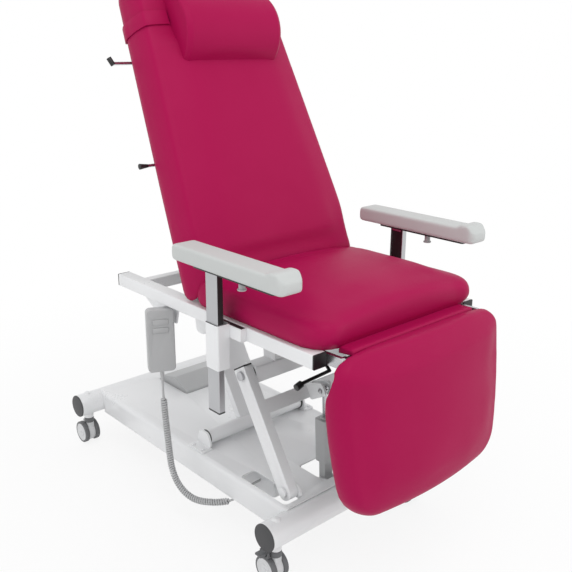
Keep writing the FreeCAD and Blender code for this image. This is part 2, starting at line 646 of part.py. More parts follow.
def motor_nodes():
    """The lift motor, drawn upright over its foot pin and then tilted to its place."""
    foot = rod(V(-15, 0, 0), V(15, 0, 0), 13.0)
    neck = block(-15, 15, -12, 12, 0, MOTOR_LOW + 14.0, 4.0, "x")
    body = block(-MOTOR_W / 2.0, MOTOR_W / 2.0, -MOTOR_D / 2.0, MOTOR_D / 2.0, MOTOR_LOW, MOTOR_TOP, 10.0, "z")
    collar = Part.makeCylinder(2.0 * MOTOR_ROD_R, 12.0, V(0, 0, MOTOR_TOP - 6.0))
    housing = fused([foot, neck, body, collar])
    length = LIFT_STRUT.length
    stroke = abs(LIFT_STRUT.slide_per_degree * LIFT_TRAVEL)
    bore_low = MOTOR_LOW + 34.0
    rod_low = bore_low + 4.0 + stroke
    housing = housing.cut([rod(V(-MOTOR_W, 0, 0), V(MOTOR_W, 0, 0), MOTOR_PIN_R + RUN),
                           Part.makeCylinder(MOTOR_ROD_R + RUN, length, V(0, 0, bore_low))])
    tube = Part.makeCylinder(MOTOR_ROD_R, length - rod_low, V(0, 0, rod_low))
    eye = rod(V(-9, 0, length), V(9, 0, length), 11.0)
    pin = rod(V(-21, 0, length), V(21, 0, length), MOTOR_PIN_R)
    place = V(0, MOTOR_FOOT_Y, MOTOR_FOOT_Z)
    out = {"lift_motor": housing, "lift_motor_rod": fused([tube, eye, pin])}
    for shape in out.values():
        shape.translate(place)
        shape.rotate(place, V(1, 0, 0), LIFT_STRUT.tilt - 90.0)
    return out


def spring_nodes(name, strut, x, barrel, overlap):
    """A gas spring, drawn upright over its foot pin and then tilted to its place."""
    low = rod(V(-7, 0, 0), V(7, 0, 0), 11.0)
    neck = Part.makeCylinder(6.0, 24.0)
    body = Part.makeCylinder(SPRING_R, barrel - 22.0, V(0, 0, 22.0))
    bore = Part.makeCylinder(SPRING_ROD_R + RUN, barrel - 30.0, V(0, 0, 30.0))
    cylinder = fused([low, neck, body]).cut([bore, rod(V(-20, 0, 0), V(20, 0, 0), SPRING_PIN_R + RUN)])
    stem = Part.makeCylinder(SPRING_ROD_R, strut.length - barrel + overlap, V(0, 0, barrel - overlap))
    eye = rod(V(-8, 0, strut.length), V(8, 0, strut.length), 10.0)
    pin = rod(V(-19, 0, strut.length), V(19, 0, strut.length), SPRING_PIN_R)
    out = {name + "_spring_cylinder": cylinder, name + "_spring_rod": fused([stem, eye, pin])}
    place = V(x, strut.foot[0], strut.foot[1])
    for shape in out.values():
        shape.translate(place)
        shape.rotate(place, V(1, 0, 0), strut.tilt - 90.0)
    return out


def hollow_bar(x0, x1, y0, y1, z0, z1, wall, axis):
    """A rectangular tube along one axis."""
    inner = {"x": box(x0, x1, y0 + wall, y1 - wall, z0 + wall, z1 - wall),
             "y": box(x0 + wall, x1 - wall, y0, y1, z0 + wall, z1 - wall)}
    return block(x0, x1, y0, y1, z0, z1, wall, axis).cut(inner[axis])


def foot_lug(x, y, z, top):
    """A hanging lug with the pin that a spring's foot turns on."""
    half = 13.0
    tab = plate([(y - half, z - half), (y + half, z - half), (y + half, top), (y - half, top)],
                8.0, "x", x - 15.0, x - 9.0)
    tab = tab.fuse(box(x - 15, x - 9, y - half, y + half, top - 10, top))
    return tab.fuse(rod(V(x - 10, y, z), V(x + 9, y, z), SPRING_PIN_R)).removeSplitter()


def pivot_rod(start, end, radius):
    """A round bar on the axis about which the seat frame turns on the lift's arms."""
    return rod(V(start, SEAT_PIVOT_Y, SEAT_PIVOT_Z), V(end, SEAT_PIVOT_Y, SEAT_PIVOT_Z), radius)


def seat_nodes():
    """The seat frame with its rails, weldment, brackets, cushion and the armrests' sleeves."""
    out = {}
    rail = hollow_bar(RAIL_IN, RAIL_OUT, RAIL_FRONT, RAIL_REAR, RAIL_LOW, RAIL_TOP, RAIL_WALL, "y")
    out["seat_rail_right"] = rail
    corners = ((127, 0), (54, -42), (20, -60), (-62, -60), (-78, 0))
    gusset = plate([(y, RAIL_LOW + z) for y, z in corners], 3.0, "x", -RAIL_IN - 8.0, -RAIL_IN - 3.0)
    out["seat_rail_left"] = mirrored(rail).fuse(gusset)

    caps = []
    for y in (RAIL_FRONT - CAP_T, RAIL_REAR):
        caps.append(block(RAIL_IN, RAIL_OUT, y, y + CAP_T, RAIL_LOW, RAIL_TOP, 3.0, "y"))
    post_end = ARM_IN - 4.0
    washer = pivot_rod(post_end, post_end + 3.5, 24.0)
    caps.append(washer.cut(pivot_rod(0.0, RAIL_OUT, PIVOT_R + SEAT_GAP)))
    out["seat_frame_caps"] = Part.makeCompound(caps + [mirrored(c) for c in caps])
    out["seat_underframe"] = underframe(post_end)

    board_low = RAIL_TOP + SEAT_GAP
    pad = cushion("y", SEAT_FRONT, SEAT_REAR, SEAT_HALF, SEAT_HALF, board_low, SEAT_EDGE, SEAT_CROWN,
                  SEAT_CORNER, SEAT_CORNER_REAR)

    def board(room, low):
        wide = SEAT_HALF - BOARD_INSET + room
        return block(-wide, wide, SEAT_FRONT + BOARD_INSET - room, SEAT_REAR - BOARD_INSET + room, low,
                     board_low + BOARD_T + room, SEAT_CORNER - BOARD_INSET + room, "z")

    out["seat_board"] = board(0.0, board_low)
    back = back_pad()
    back.translate(V(0, -GAP, 0))
    out["seat_cushion"] = pad.cut([board(SEAT_GAP, board_low - 1.0), leant(back)])

    half = SLEEVE_D / 2.0
    sleeve_in = SLEEVE_OUT - SLEEVE_W
    sleeve = block(sleeve_in, SLEEVE_OUT, SLEEVE_Y - half, SLEEVE_Y + half, SLEEVE_LOW, SLEEVE_TOP, 6.0, "z")
    arm = block(RAIL_OUT, sleeve_in + 3.0, SLEEVE_Y - 70.0, SLEEVE_Y + half, RAIL_LOW + 1.0, RAIL_TOP,
                4.0, "y")
    bore = block(sleeve_in + SLEEVE_WALL, SLEEVE_OUT - SLEEVE_WALL, SLEEVE_Y - half + SLEEVE_WALL,
                 SLEEVE_Y + half - SLEEVE_WALL, SLEEVE_LOW - 1, SLEEVE_TOP + 1, 4.0, "z")
    out["armrest_sleeves"] = both(sleeve.fuse(arm).cut(bore).removeSplitter())
    out["hinge_brackets"] = hinge_brackets()
    return out


def underframe(post_end):
    """Cross members, front and rear hangers and the lift's upper cross tube, welded into one."""
    pieces = []
    for y in (FRONT_CROSS_Y, BACK_SPRING_Y, SEAT_PIVOT_Y, LINK_TOP_Y):
        low, high = y - CROSS_W / 2.0, y + CROSS_W / 2.0
        pieces.append(hollow_bar(-RAIL_IN, RAIL_IN, low, high, RAIL_LOW, RAIL_TOP - 2.0, RAIL_WALL, "x"))
    half = ARM_DEPTH / 2.0
    tube = block(-post_end, post_end, SEAT_PIVOT_Y - half, SEAT_PIVOT_Y + half,
                 SEAT_PIVOT_Z - half, SEAT_PIVOT_Z + half, 5.0, "x")
    pieces += [tube, pivot_rod(-ARM_OUT - 1.0, ARM_OUT + 1.0, PIVOT_R)]
    top = RAIL_LOW + 3.0
    for side in (LEFT, RIGHT):
        front = plate([(SEAT_PIVOT_Y - 34, top), (SEAT_PIVOT_Y - 22, SEAT_PIVOT_Z),
                       (SEAT_PIVOT_Y + 22, SEAT_PIVOT_Z), (SEAT_PIVOT_Y + 34, top)],
                      5.0, "x", side * 92.0, side * 98.0)
        rear = plate([(LINK_TOP_Y - 44, top), (LINK_TOP_Y - 24, LINK_TOP_Z - 24),
                      (LINK_TOP_Y + 24, LINK_TOP_Z - 24), (LINK_TOP_Y + 44, top)],
                     18.0, "x", side * (LINK_HALF + 9.0), side * (LINK_HALF + 16.0))
        pieces += [front, rear]
    pin_end = LINK_HALF + 15.0
    pieces.append(rod(V(-pin_end, LINK_TOP_Y, LINK_TOP_Z), V(pin_end, LINK_TOP_Y, LINK_TOP_Z), PIVOT_R))
    pieces.append(foot_lug(SPRING_X, BACK_SPRING_Y, BACK_SPRING_Z, RAIL_LOW + 2.0))
    pieces.append(foot_lug(-SPRING_X, LEG_SPRING_Y, LEG_SPRING_Z, RAIL_LOW + 2.0))
    y = BACK_SPRING_Y
    ear = plate([(LEVER_Y - 10, LEVER_Z - 10), (LEVER_Y + 10, LEVER_Z - 10),
                 (y + 12, RAIL_LOW + 2), (y - 14, RAIL_LOW + 2)], 6.0, "x", LEVER_X + 14.0, LEVER_X + 20.0)
    pin = rod(V(LEVER_X - 9.0, LEVER_Y, LEVER_Z), V(LEVER_X + 16.0, LEVER_Y, LEVER_Z), LEVER_PIN_R)
    pieces += [ear, pin]
    return fused(pieces)


def hinge_brackets():
    """The plates on the rails that carry the backrest and the legrest, with their pins."""
    back = plate([(BACK_Y - 34, RAIL_LOW + 4), (BACK_Y + 34, RAIL_LOW + 4), (BACK_Y + 15, BACK_Z + 15),
                  (BACK_Y - 15, BACK_Z + 15)], 13.0, "x", HINGE_IN, RAIL_IN)
    back = back.fuse(rod(V(HINGE_IN - 19, BACK_Y, BACK_Z), V(HINGE_IN + 1, BACK_Y, BACK_Z), HINGE_PIN_R))
    root = RAIL_FRONT + 60.0
    leg = plate([(LEG_Y - 13, LEG_Z - 13), (root, RAIL_LOW + 2), (root, RAIL_LOW + LEG_EAR_ROOT),
                 (LEG_Y - 13, LEG_Z + LEG_EAR)], 11.0, "x", HINGE_IN, RAIL_IN)
    leg = leg.fuse(rod(V(HINGE_IN - 19, LEG_Y, LEG_Z), V(HINGE_IN + 1, LEG_Y, LEG_Z), HINGE_PIN_R))
    head = pivot_rod(ARM_OUT + 1.0, ARM_OUT + 7.0, 13.0)
    pieces = [back.removeSplitter(), leg.removeSplitter(), head]
    return Part.makeCompound(pieces + [mirrored(p) for p in pieces])


def crank_lugs(x, strut, hinge_y, hinge_z):
    """Two lugs from a hinge bar to a spring's pin, with room for the pin's stray."""
    lugs = []
    y, z = strut.pin
    reach = math.hypot(y - hinge_y, z - hinge_z)
    along = V(0, y - hinge_y, z - hinge_z) * (1.0 / reach)
    across = V(0, -along.z, along.y)
    corners = []
    for a, b in ((0, -9), (reach + 19, -19), (reach + 19, 19), (0, 9)):
        p = along * a + across * b
        corners.append((hinge_y + p.y, hinge_z + p.z))
    for start in (x - 16.0, x + 10.0):
        lugs.append(plate(corners, 8.0, "x", start, start + 6.0))
    return [lug.cut(strut.cutter(SPRING_PIN_R, x - 30.0, x + 30.0)) for lug in lugs]


def back_pad():
    """The backrest's cushion, drawn upright over its hinge, with nothing let into it."""
    pad = cushion("z", BACK_START, BACK_LENGTH, BACK_HALF_LOW, BACK_HALF_TOP, -BACK_REAR, BACK_EDGE, BACK_CROWN,
                  BACK_CORNER, BACK_CORNER)
    return pad.mirror(V(0, 0, 0), V(0, 1, 0))


def leant(shape):
    """A piece of the backrest, drawn upright, set on its hinge and leant back."""
    shape.translate(V(0, BACK_Y, BACK_Z))
    shape.rotate(V(0, BACK_Y, BACK_Z), V(1, 0, 0), -BACK_ANGLE)
    return shape


def back_nodes():
    """The backrest, drawn upright over its hinge and then leant back."""
    rear = BACK_REAR
    front = rear - BOARD_T

    def board(room, back):
        inset = BOARD_INSET - room
        low, high = BACK_HALF_LOW - inset, BACK_HALF_TOP - inset
        start, end = BACK_START + inset, BACK_LENGTH - inset
        return plate([(-low, start), (low, start), (high, end), (-high, end)], BACK_CORNER - inset, "y",
                     front - room, back)

    notch = box(HINGE_IN - 20.0, RAIL_IN + 4.0, -HINGE_ROOM, HINGE_ROOM, BACK_START - 1.0, HINGE_ROOM + 12.0)
    bar_room = HINGE_BAR_R + GAP
    channel = box(-HINGE_IN, HINGE_IN, -bar_room, HINGE_ROOM, BACK_START - 1.0, bar_room)
    hinge = [notch, mirrored(notch), channel]
    studs = []
    for z in BACK_LEVERS:
        studs.append(Part.makeCylinder(LEVER_PIN_R, 15.0, V(BACK_LEVER_X, rear - 1.0, z), V(0, 1, 0)))
    out = {"back_board": board(0.0, rear).cut(hinge).fuse(studs).removeSplitter()}
    out["back_cushion"] = back_pad().cut([board(SEAT_GAP, rear + 1.0)] + hinge)
    face = BACK_EDGE - rear
    crown = out["back_cushion"].copy()
    crown.translate(V(0, -STRAP_GAP, 0))
    out["head_pillow"] = head_pillow(face).cut(crown)
    low = STRAP_Z - STRAP_H / 2.0
    high = STRAP_Z + STRAP_H / 2.0
    strap = back_sleeve(low, high, STRAP_GAP + STRAP_T).cut(back_sleeve(low, high, STRAP_GAP))
    gate = PILLOW_HALF + SEAT_GAP
    out["pillow_strap"] = strap.cut(box(-gate, gate, -RAIL_OUT, -face, low - 1, high + 1))

    back = rear + GAP
    arm = plate([(-12, -12), (14, -12), (back + 6, 40), (back + 6, 210), (back, 210), (back, 36), (-12, 12)],
                5.0, "x", HINGE_IN - 16.0, HINGE_IN - 4.0)
    arms = [arm, mirrored(arm), rod(V(4.0 - HINGE_IN, 0, 0), V(HINGE_IN - 4.0, 0, 0), HINGE_BAR_R)]
    hole = rod(V(HINGE_IN - 20.0, 0, 0), V(HINGE_IN, 0, 0), HINGE_PIN_R + RUN)
    frame = fused(arms).cut([hole, mirrored(hole)])
    out["back_hinge_arms"] = frame
    out["upper_back_lever"] = back_lever(rear, BACK_LEVERS[0], 16.0)
    out["lower_back_lever"] = back_lever(rear, BACK_LEVERS[1], 0.0)
    for shape in out.values():
        leant(shape)
    lugs = crank_lugs(SPRING_X, BACK_STRUT, BACK_Y, BACK_Z)
    out["back_hinge_arms"] = fused([out["back_hinge_arms"]] + lugs)
    return out


def head_pillow(face):
    """A half-round pillow across the top of the backrest, drawn in at its ends."""
    wires = []
    full = PILLOW_HALF - PILLOW_DRAW
    for x, fill in ((-PILLOW_HALF, 0.93), (-full, 1.0), (full, 1.0), (PILLOW_HALF, 0.93)):
        half = fill * PILLOW_H / 2.0
        first = V(x, -face, PILLOW_Z - half)
        last = V(x, -face, PILLOW_Z + half)
        round_side = Part.Arc(first, V(x, -face - fill * PILLOW_T, PILLOW_Z), last).toShape()
        wires.append(Part.Wire([round_side, Part.makeLine(last, first)]))
    return Part.makeLoft(wires, True, True)


def back_sleeve(start, end, more):
    """A stretch of the backrest grown by more all round."""
    wires = []
    for i in range(5):
        at = start + (end - start) * i / 4.0
        share = (at - BACK_START) / (BACK_LENGTH - BACK_START)
        half = BACK_HALF_LOW + (BACK_HALF_TOP - BACK_HALF_LOW) * share + more
        crown = BACK_CROWN * cushion_swell(share)
        edge = BACK_EDGE + 2.0 * more
        wires.append(cushion_section("z", at, half, -BACK_REAR - more, edge, crown, DRAW * BACK_EDGE))
    return Part.makeLoft(wires, True, True).mirror(V(0, 0, 0), V(0, 1, 0))


def back_lever(rear, z, rise):
    """A release lever on the back of the backrest; its tip is turned up by rise."""
    y = rear + 8.0
    boss = Part.makeCylinder(13.0, 12.0, V(BACK_LEVER_X, rear + 1.0, z), V(0, 1, 0))
    stem = rod(V(BACK_LEVER_X, y, z), V(BACK_LEVER_TIP, y, z), 4.5)
    if rise:
        tip = rod(V(BACK_LEVER_TIP + 4, y, z - 4.5), V(BACK_LEVER_TIP - 4, y, z + rise), 7.0)
    else:
        tip = Part.makeCone(4.5, 8.0, 26.0, V(BACK_LEVER_TIP + 20, y, z), V(-1, 0, 0))
    hole = Part.makeCylinder(LEVER_PIN_R + RUN, 30.0, V(BACK_LEVER_X, rear - 2.0, z), V(0, 1, 0))
    return fused([boss, stem, tip]).cut(hole)


def leg_nodes():
    """The legrest, drawn hanging straight from its hinge and then swung forward."""
    rear = LEG_REAR
    front = rear - BOARD_T

    def board(room, back):
        inset = BOARD_INSET - room
        wide, narrow = LEG_HALF - inset, LEG_HALF_END - inset
        start, end = LEG_BOARD_START - room, LEG_END - inset
        return plate([(-wide, -start), (wide, -start), (narrow, -end), (-narrow, -end)], LEG_CORNER_END - inset,
                     "y", front - room, back)

    out = {"leg_board": board(0.0, rear)}
    pad = cushion("z", -LEG_END, -LEG_START, LEG_HALF_END, LEG_HALF, -rear, LEG_EDGE, LEG_CROWN,
                  LEG_CORNER_END, LEG_CORNER)
    behind = box(-LEG_HALF, LEG_HALF, ROLL_FRONT - 1.0, rear + 1.0, BOARD_INSET - LEG_BOARD_START,
                 -LEG_START + 1.0)
    room = rod(V(HINGE_IN - 20.0, 0, 0), V(RAIL_IN + 4.0, 0, 0), LEG_ROOM)
    pad = pad.mirror(V(0, 0, 0), V(0, 1, 0))
    out["leg_cushion"] = pad.cut([board(SEAT_GAP, rear + 1.0), behind, room, mirrored(room)])

    roll_low = LEG_BAR_R + SEAT_GAP
    roll = box(-ROLL_HALF, ROLL_HALF, ROLL_FRONT, ROLL_REAR, roll_low, roll_low + ROLL_H)
    edges = [e for e in roll.Edges if e.BoundBox.ZMin > roll_low + 1.0 and e.BoundBox.XLength > ROLL_HALF]
    out["front_roll"] = roll.makeFillet(ROLL_ROUND, edges)
    back = rear + GAP
    arm = plate([(-9, LEG_BAR_R), (10, LEG_BAR_R), (back + 7, -34), (back + 7, -210), (back, -210), (back, -28), (-12, -12)],
                5.0, "x", HINGE_IN - 16.0, HINGE_IN - 4.0)
    frame = fused([arm, mirrored(arm), rod(V(4.0 - HINGE_IN, 0, 0), V(HINGE_IN - 4.0, 0, 0), LEG_BAR_R)])
    hole = rod(V(HINGE_IN - 20.0, 0, 0), V(HINGE_IN, 0, 0), HINGE_PIN_R + RUN)
    out["leg_hinge_arms"] = frame.cut([hole, mirrored(hole)])
    for shape in out.values():
        shape.translate(V(0, LEG_Y, LEG_Z))
        shape.rotate(V(0, LEG_Y, LEG_Z), V(1, 0, 0), -LEG_ANGLE)
    lugs = crank_lugs(-SPRING_X, LEG_STRUT, LEG_Y, LEG_Z)
    out["leg_hinge_arms"] = fused([out["leg_hinge_arms"]] + lugs)
    notch = box(-SPRING_X - 18.0, -SPRING_X + 18.0, LEG_Y - 4.0, LEG_Y + LEG_CRANK + 20.0,
                LEG_Z - LEG_CRANK - 22.0, LEG_Z)
    for name in ("leg_board", "leg_cushion"):
        out[name] = out[name].cut(notch)
    return out


def leg_lever():
    """The lever under the seat that releases the legrest, with its knob to the left."""
    boss = rod(V(LEVER_X - 8, LEVER_Y, LEVER_Z), V(LEVER_X + 12, LEVER_Y, LEVER_Z), 9.0)
    start = V(LEVER_X, LEVER_Y - 6, LEVER_Z)
    elbow = V(LEVER_X - 12, LEVER_Y - 78, LEVER_Z - 48)
    end = V(LEVER_X - 120, LEVER_Y - 88, LEVER_Z - 48)
    knob = rod(end, end + V(-18, -1, -5), 9.0)
    joint = Part.makeSphere(4.5, elbow)
    shape = fused([boss, rod(start, elbow, 4.5), joint, rod(elbow, end, 4.5), knob])
    bore = rod(V(LEVER_X - 20, LEVER_Y, LEVER_Z), V(LEVER_X + 30, LEVER_Y, LEVER_Z), LEVER_PIN_R + RUN)
    return shape.cut(bore)


def armrest_nodes():
    """A post that slides in its sleeve, the pad on top and the release button, for each side."""
    out = {}
    plate_low = POST_TOP - PLATE_T
    outer = SLEEVE_OUT - SLEEVE_WALL - GAP
    inner = outer - POST_W
    front = SLEEVE_Y - POST_D / 2.0
    rear = SLEEVE_Y + POST_D / 2.0
    post = block(inner, outer, front, rear, POST_LOW, plate_low + 1.0, 3.0, "z")
    groove = block(inner - 1.0, inner + 3.0, front + 5.0, rear - 5.0, POST_LOW + 74.0, plate_low - 10.0,
                   3.0, "x")
    flange = block(PAD_IN + 10.0, PAD_IN + PAD_W - 10.0, PLATE_FRONT, PLATE_REAR, plate_low, POST_TOP, 8.0, "z")
    button_x = (inner + outer) / 2.0
    hole = Part.makeCylinder(BUTTON_R + RUN, 40.0, V(button_x, BUTTON_Y, plate_low - 10.0))
    post = fused([post.cut(groove), flange]).cut(hole)

    low = POST_TOP + SEAT_GAP
    top = low + PAD_T
    profile = [(PAD_REAR, low), (PAD_REAR, top), (PAD_FRONT + 56, top), (PAD_FRONT + 42, top + PAD_BUMP),
               (PAD_FRONT + 18, top + PAD_BUMP), (PAD_FRONT, top - 14), (PAD_FRONT, low)]
    pad = plate(profile, 11.0, "x", PAD_IN, PAD_IN + PAD_W)
    ends = [e for f in pad.Faces if f.BoundBox.XLength < 0.1 for e in f.Edges]
    pad = pad.makeFillet(7.0, ends)
    pad = pad.cut(Part.makeCylinder(BUTTON_R + 1.0, BUTTON_TRAVEL + 6.0, V(button_x, BUTTON_Y, low - 1.0)))

    button = Part.makeCylinder(BUTTON_R, 26.0, V(button_x, BUTTON_Y, POST_TOP - 26.0))
    rim = Part.makeCylinder(BUTTON_R + 3.0, 4.0, V(button_x, BUTTON_Y, POST_TOP - 30.0))
    button = button.fuse(rim).removeSplitter()
    for name, shape in (("post", post), ("pad", pad), ("button", button)):
        out["armrest_right_" + name] = shape
        out["armrest_left_" + name] = mirrored(shape)
    return out


def handset_nodes():
    """The hand control: shell with strain relief and hanging tab, and two keys that press in."""
    half = HAND_W / 2.0
    thick = HAND_T / 2.0
    shell = block(-half, half, -thick, thick, HAND_LOW, HAND_TOP, 12.0, "y")
    rims = [e for f in shell.Faces if f.BoundBox.YLength < 0.1 for e in f.Edges]
    shell = shell.makeFillet(4.0, rims)
    relief = Part.makeCone(4.4, 7.0, HAND_LOW - RELIEF_LOW + 2.0, V(0, 0, RELIEF_LOW))
    tab = block(8.0, 22.0, thick - 1.0, thick + 14.0, HAND_TOP - 26.0, HAND_TOP - 8.0, 2.0, "y")
    shell = fused([shell, relief, tab])
    out = {}
    for name, z in (("handset_up_key", KEY_UP_Z), ("handset_down_key", KEY_UP_Z - KEY_H - 8.0)):
        wide, tall = KEY_W / 2.0, KEY_H / 2.0
        shell = shell.cut(block(-wide - GAP, wide + GAP, -thick - 1.0, -thick + 6.0,
                                z - tall - GAP, z + tall + GAP, 4.0 + GAP, "y"))
        out[name] = block(-wide, wide, -thick - 1.5, -thick + 3.5, z - tall, z + tall, 4.0, "y")
    out["handset_shell"] = shell
    for shape in out.values():
        shape.rotate(V(0, 0, 0), V(0, 0, 1), HAND_TURN)
        shape.translate(V(HAND_X, HAND_Y, 0))
    gusset = box(-RAIL_IN - 8.0, RAIL_OUT, -200.0, 200.0, 0.0, RAIL_LOW)
    out["handset_shell"] = out["handset_shell"].cut(gusset)
    return out


class Route:
    """A cord's middle line: straight runs between points, joined by tangent arcs."""

    def __init__(self, points):
        corners = [V(*p) for p in points]
        self.pieces = []
        self.radii = []
        start = corners[0]
        for i in range(1, len(corners) - 1):
            back = corners[i - 1] - corners[i]
            ahead = corners[i + 1] - corners[i]
            turn = math.pi - back.getAngle(ahead)
            reach = BEND_SHARE * min(back.Length, ahead.Length)
            radius = reach / math.tan(turn / 2.0)
            self.radii.append(radius)
            back.normalize()
            ahead.normalize()
            first = corners[i] + back * reach
            self.pieces.append(("run", start, first, None, (first - start).Length))
            self.pieces.append(("bend", first, back * -1.0, ahead, radius * turn))
            start = corners[i] + ahead * reach
        self.pieces.append(("run", start, corners[-1], None, (corners[-1] - start).Length))
        self.length = sum(p[4] for p in self.pieces)

    def at(self, distance):
        """The point and the direction at a distance along the line."""
        rest = min(max(distance, 0.0), self.length)
        for kind, a, b, c, length in self.pieces:
            if rest <= length + 1e-9:
                break
            rest -= length
        if kind == "run":
            along = b - a
            along.normalize()
            return a + along * rest, along
        turn = b.getAngle(c)
        radius = length / turn
        side = c - b * b.dot(c)
        side.normalize()
        angle = rest / radius
        point = a + b * (radius * math.sin(angle)) + side * (radius * (1.0 - math.cos(angle)))
        return point, b * math.cos(angle) + side * math.sin(angle)


def curl_points(route, first, last):
    """Points of the curly stretch between two distances, with the cord's direction, at every half turn."""
    turns = round((last - first) / COIL_PITCH) - 2
    per_turn = 24
    count = turns * per_turn
    grows = [min(1.0, i / per_turn, (count - i) / per_turn) for i in range(count + 1)]
    steps = [1.0 + COIL_EASE * (1.0 - grow) for grow in grows]
    share = (last - first) / sum(steps[:-1])
    side = V(0, 1, 0)
    line = []
    distance = first
    for i, grow in enumerate(grows):
        middle, along = route.at(distance)
        distance += share * steps[i]
        side = side - along * side.dot(along)
        side.normalize()
        swell = COIL_R * (3.0 - 2.0 * grow) * grow * grow
        angle = 2.0 * math.pi * i / per_turn
        line.append(middle + (side * math.cos(angle) + along.cross(side) * math.sin(angle)) * swell)
    knots = []
    for i in range(0, count + 1, per_turn // 2):
        if i == 0 or i == count:
            direction = route.at(first if i == 0 else last)[1]
        else:
            direction = line[i + 1] - line[i - 1]
        direction.normalize()
        knots.append((line[i], direction))
    print("curly cord: turns", turns, "least gap between turns", round(self_gap(line, per_turn), 2))
    return knots


def self_gap(line, per_turn):
    """Least air between stretches of the cord that lie more than half a turn apart."""
    least = 1e9
    for i in range(len(line)):
        for j in range(i + per_turn // 2, min(i + 2 * per_turn, len(line))):
            least = min(least, (line[i] - line[j]).Length)
    return least - 2.0 * CORD_R


def arc_from(start, bend, end):
    """A circular arc from start to end whose tangents meet at bend."""
    chord = (start + end) * 0.5
    half = (end - start).Length / 2.0
    lift = bend - chord
    if lift.Length < 1e-3 * half:
        return Part.makeLine(start, end)
    turn = math.acos(min(1.0, half / (bend - start).Length))
    lift.normalize()
    return Part.Arc(start, chord + lift * (half * math.tan(turn / 2.0)), end).toShape()


def biarc(p, t, q, u):
    """Two arcs that join two points with given directions."""
    v = q - p
    both_ways = t + u
    spread = 2.0 * (1.0 - t.dot(u))
    if spread < 1e-7:
        return [Part.makeLine(p, q)]
    reach = v.dot(both_ways)
    d = (-reach + math.sqrt(reach * reach + spread * v.dot(v))) / spread
    a = p + t * d
    b = q - u * d
    middle = (a + b) * 0.5
    return [arc_from(p, a, middle), arc_from(middle, b, q)]


def cord_nodes():
    """The handset's cord: straight at the handset, curly down to the base, straight into the control box."""
    route = Route(CORD_ROUTE)
    print("cord: length", round(route.length, 1), "bend radii", [round(r, 1) for r in route.radii])
    first = COIL_START
    last = route.length - COIL_STOP
    knots = [(route.at(0.0)[0], route.at(0.0)[1])] + curl_points(route, first, last)
    edges = [Part.makeLine(knots[0][0], knots[1][0])]
    for (p, t), (q, u) in zip(knots[1:], knots[2:]):
        edges += biarc(p, t, q, u)
    steps = 6
    tail = [route.at(last + (route.length - last) * i / steps) for i in range(steps + 1)]
    for (p, t), (q, u) in zip(tail, tail[1:]):
        edges += biarc(p, t, q, u)
    path = Part.Wire(edges)
    ring = Part.Wire(Part.makeCircle(CORD_R, knots[0][0], knots[0][1]))
    pipe = Part.BRepOffsetAPI.MakePipeShell(path)
    pipe.add(ring)
    pipe.build()
    pipe.makeSolid()
    cord = pipe.shape()
    share = cord.Volume / (math.pi * CORD_R ** 2 * path.Length)
    print("cord: volume against section times length", round(share, 4), "valid", cord.isValid())
    return {"handset_cord": cord}


def main():
    """Builds every piece and writes one file for each."""
    nodes = {}
    nodes.update(base_nodes())
    nodes.update(caster_nodes())
    nodes.update(lift_nodes())
    nodes.update(seat_nodes())
    nodes.update(back_nodes())
    nodes.update(leg_nodes())
    nodes.update(spring_nodes("back", BACK_STRUT, SPRING_X, BACK_BARREL, BACK_ROD_IN))
    nodes.update(spring_nodes("leg", LEG_STRUT, -SPRING_X, LEG_BARREL, LEG_ROD_IN))
    nodes["leg_lever"] = leg_lever()
    nodes.update(armrest_nodes())
    nodes.update(handset_nodes())
    nodes.update(cord_nodes())
    os.makedirs("parts", exist_ok=True)
    for name, shape in sorted(nodes.items()):
        shape.exportStep("parts/%s.step" % name)
    print(len(nodes), "nodes")
    for name, strut in (("lift", LIFT_STRUT), ("back", BACK_STRUT), ("leg", LEG_STRUT)):
        print(name, "strut: length", round(strut.length, 3), "slide per degree",
              round(strut.slide_per_degree, 6), "turn ratio", round(strut.turn_ratio, 6), "tilt",
              round(strut.tilt, 4), "stray", [round(s, 2) for s in strut.window()])
    print("seat pivot", round(SEAT_PIVOT_Y, 4), round(SEAT_PIVOT_Z, 4), "link top", round(LINK_TOP_Y, 4),
          round(LINK_TOP_Z, 4))


main()
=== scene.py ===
"""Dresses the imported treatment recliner: upholstery, painted steel, casters, hand control, studio and camera."""

from __future__ import annotations

import json
import logging
import math
from dataclasses import dataclass
from enum import Enum
from typing import Any, Callable, Iterable, Sequence

import bmesh
import bpy
import numpy as np
from mathutils import Matrix, Vector
from mathutils.bvhtree import BVHTree

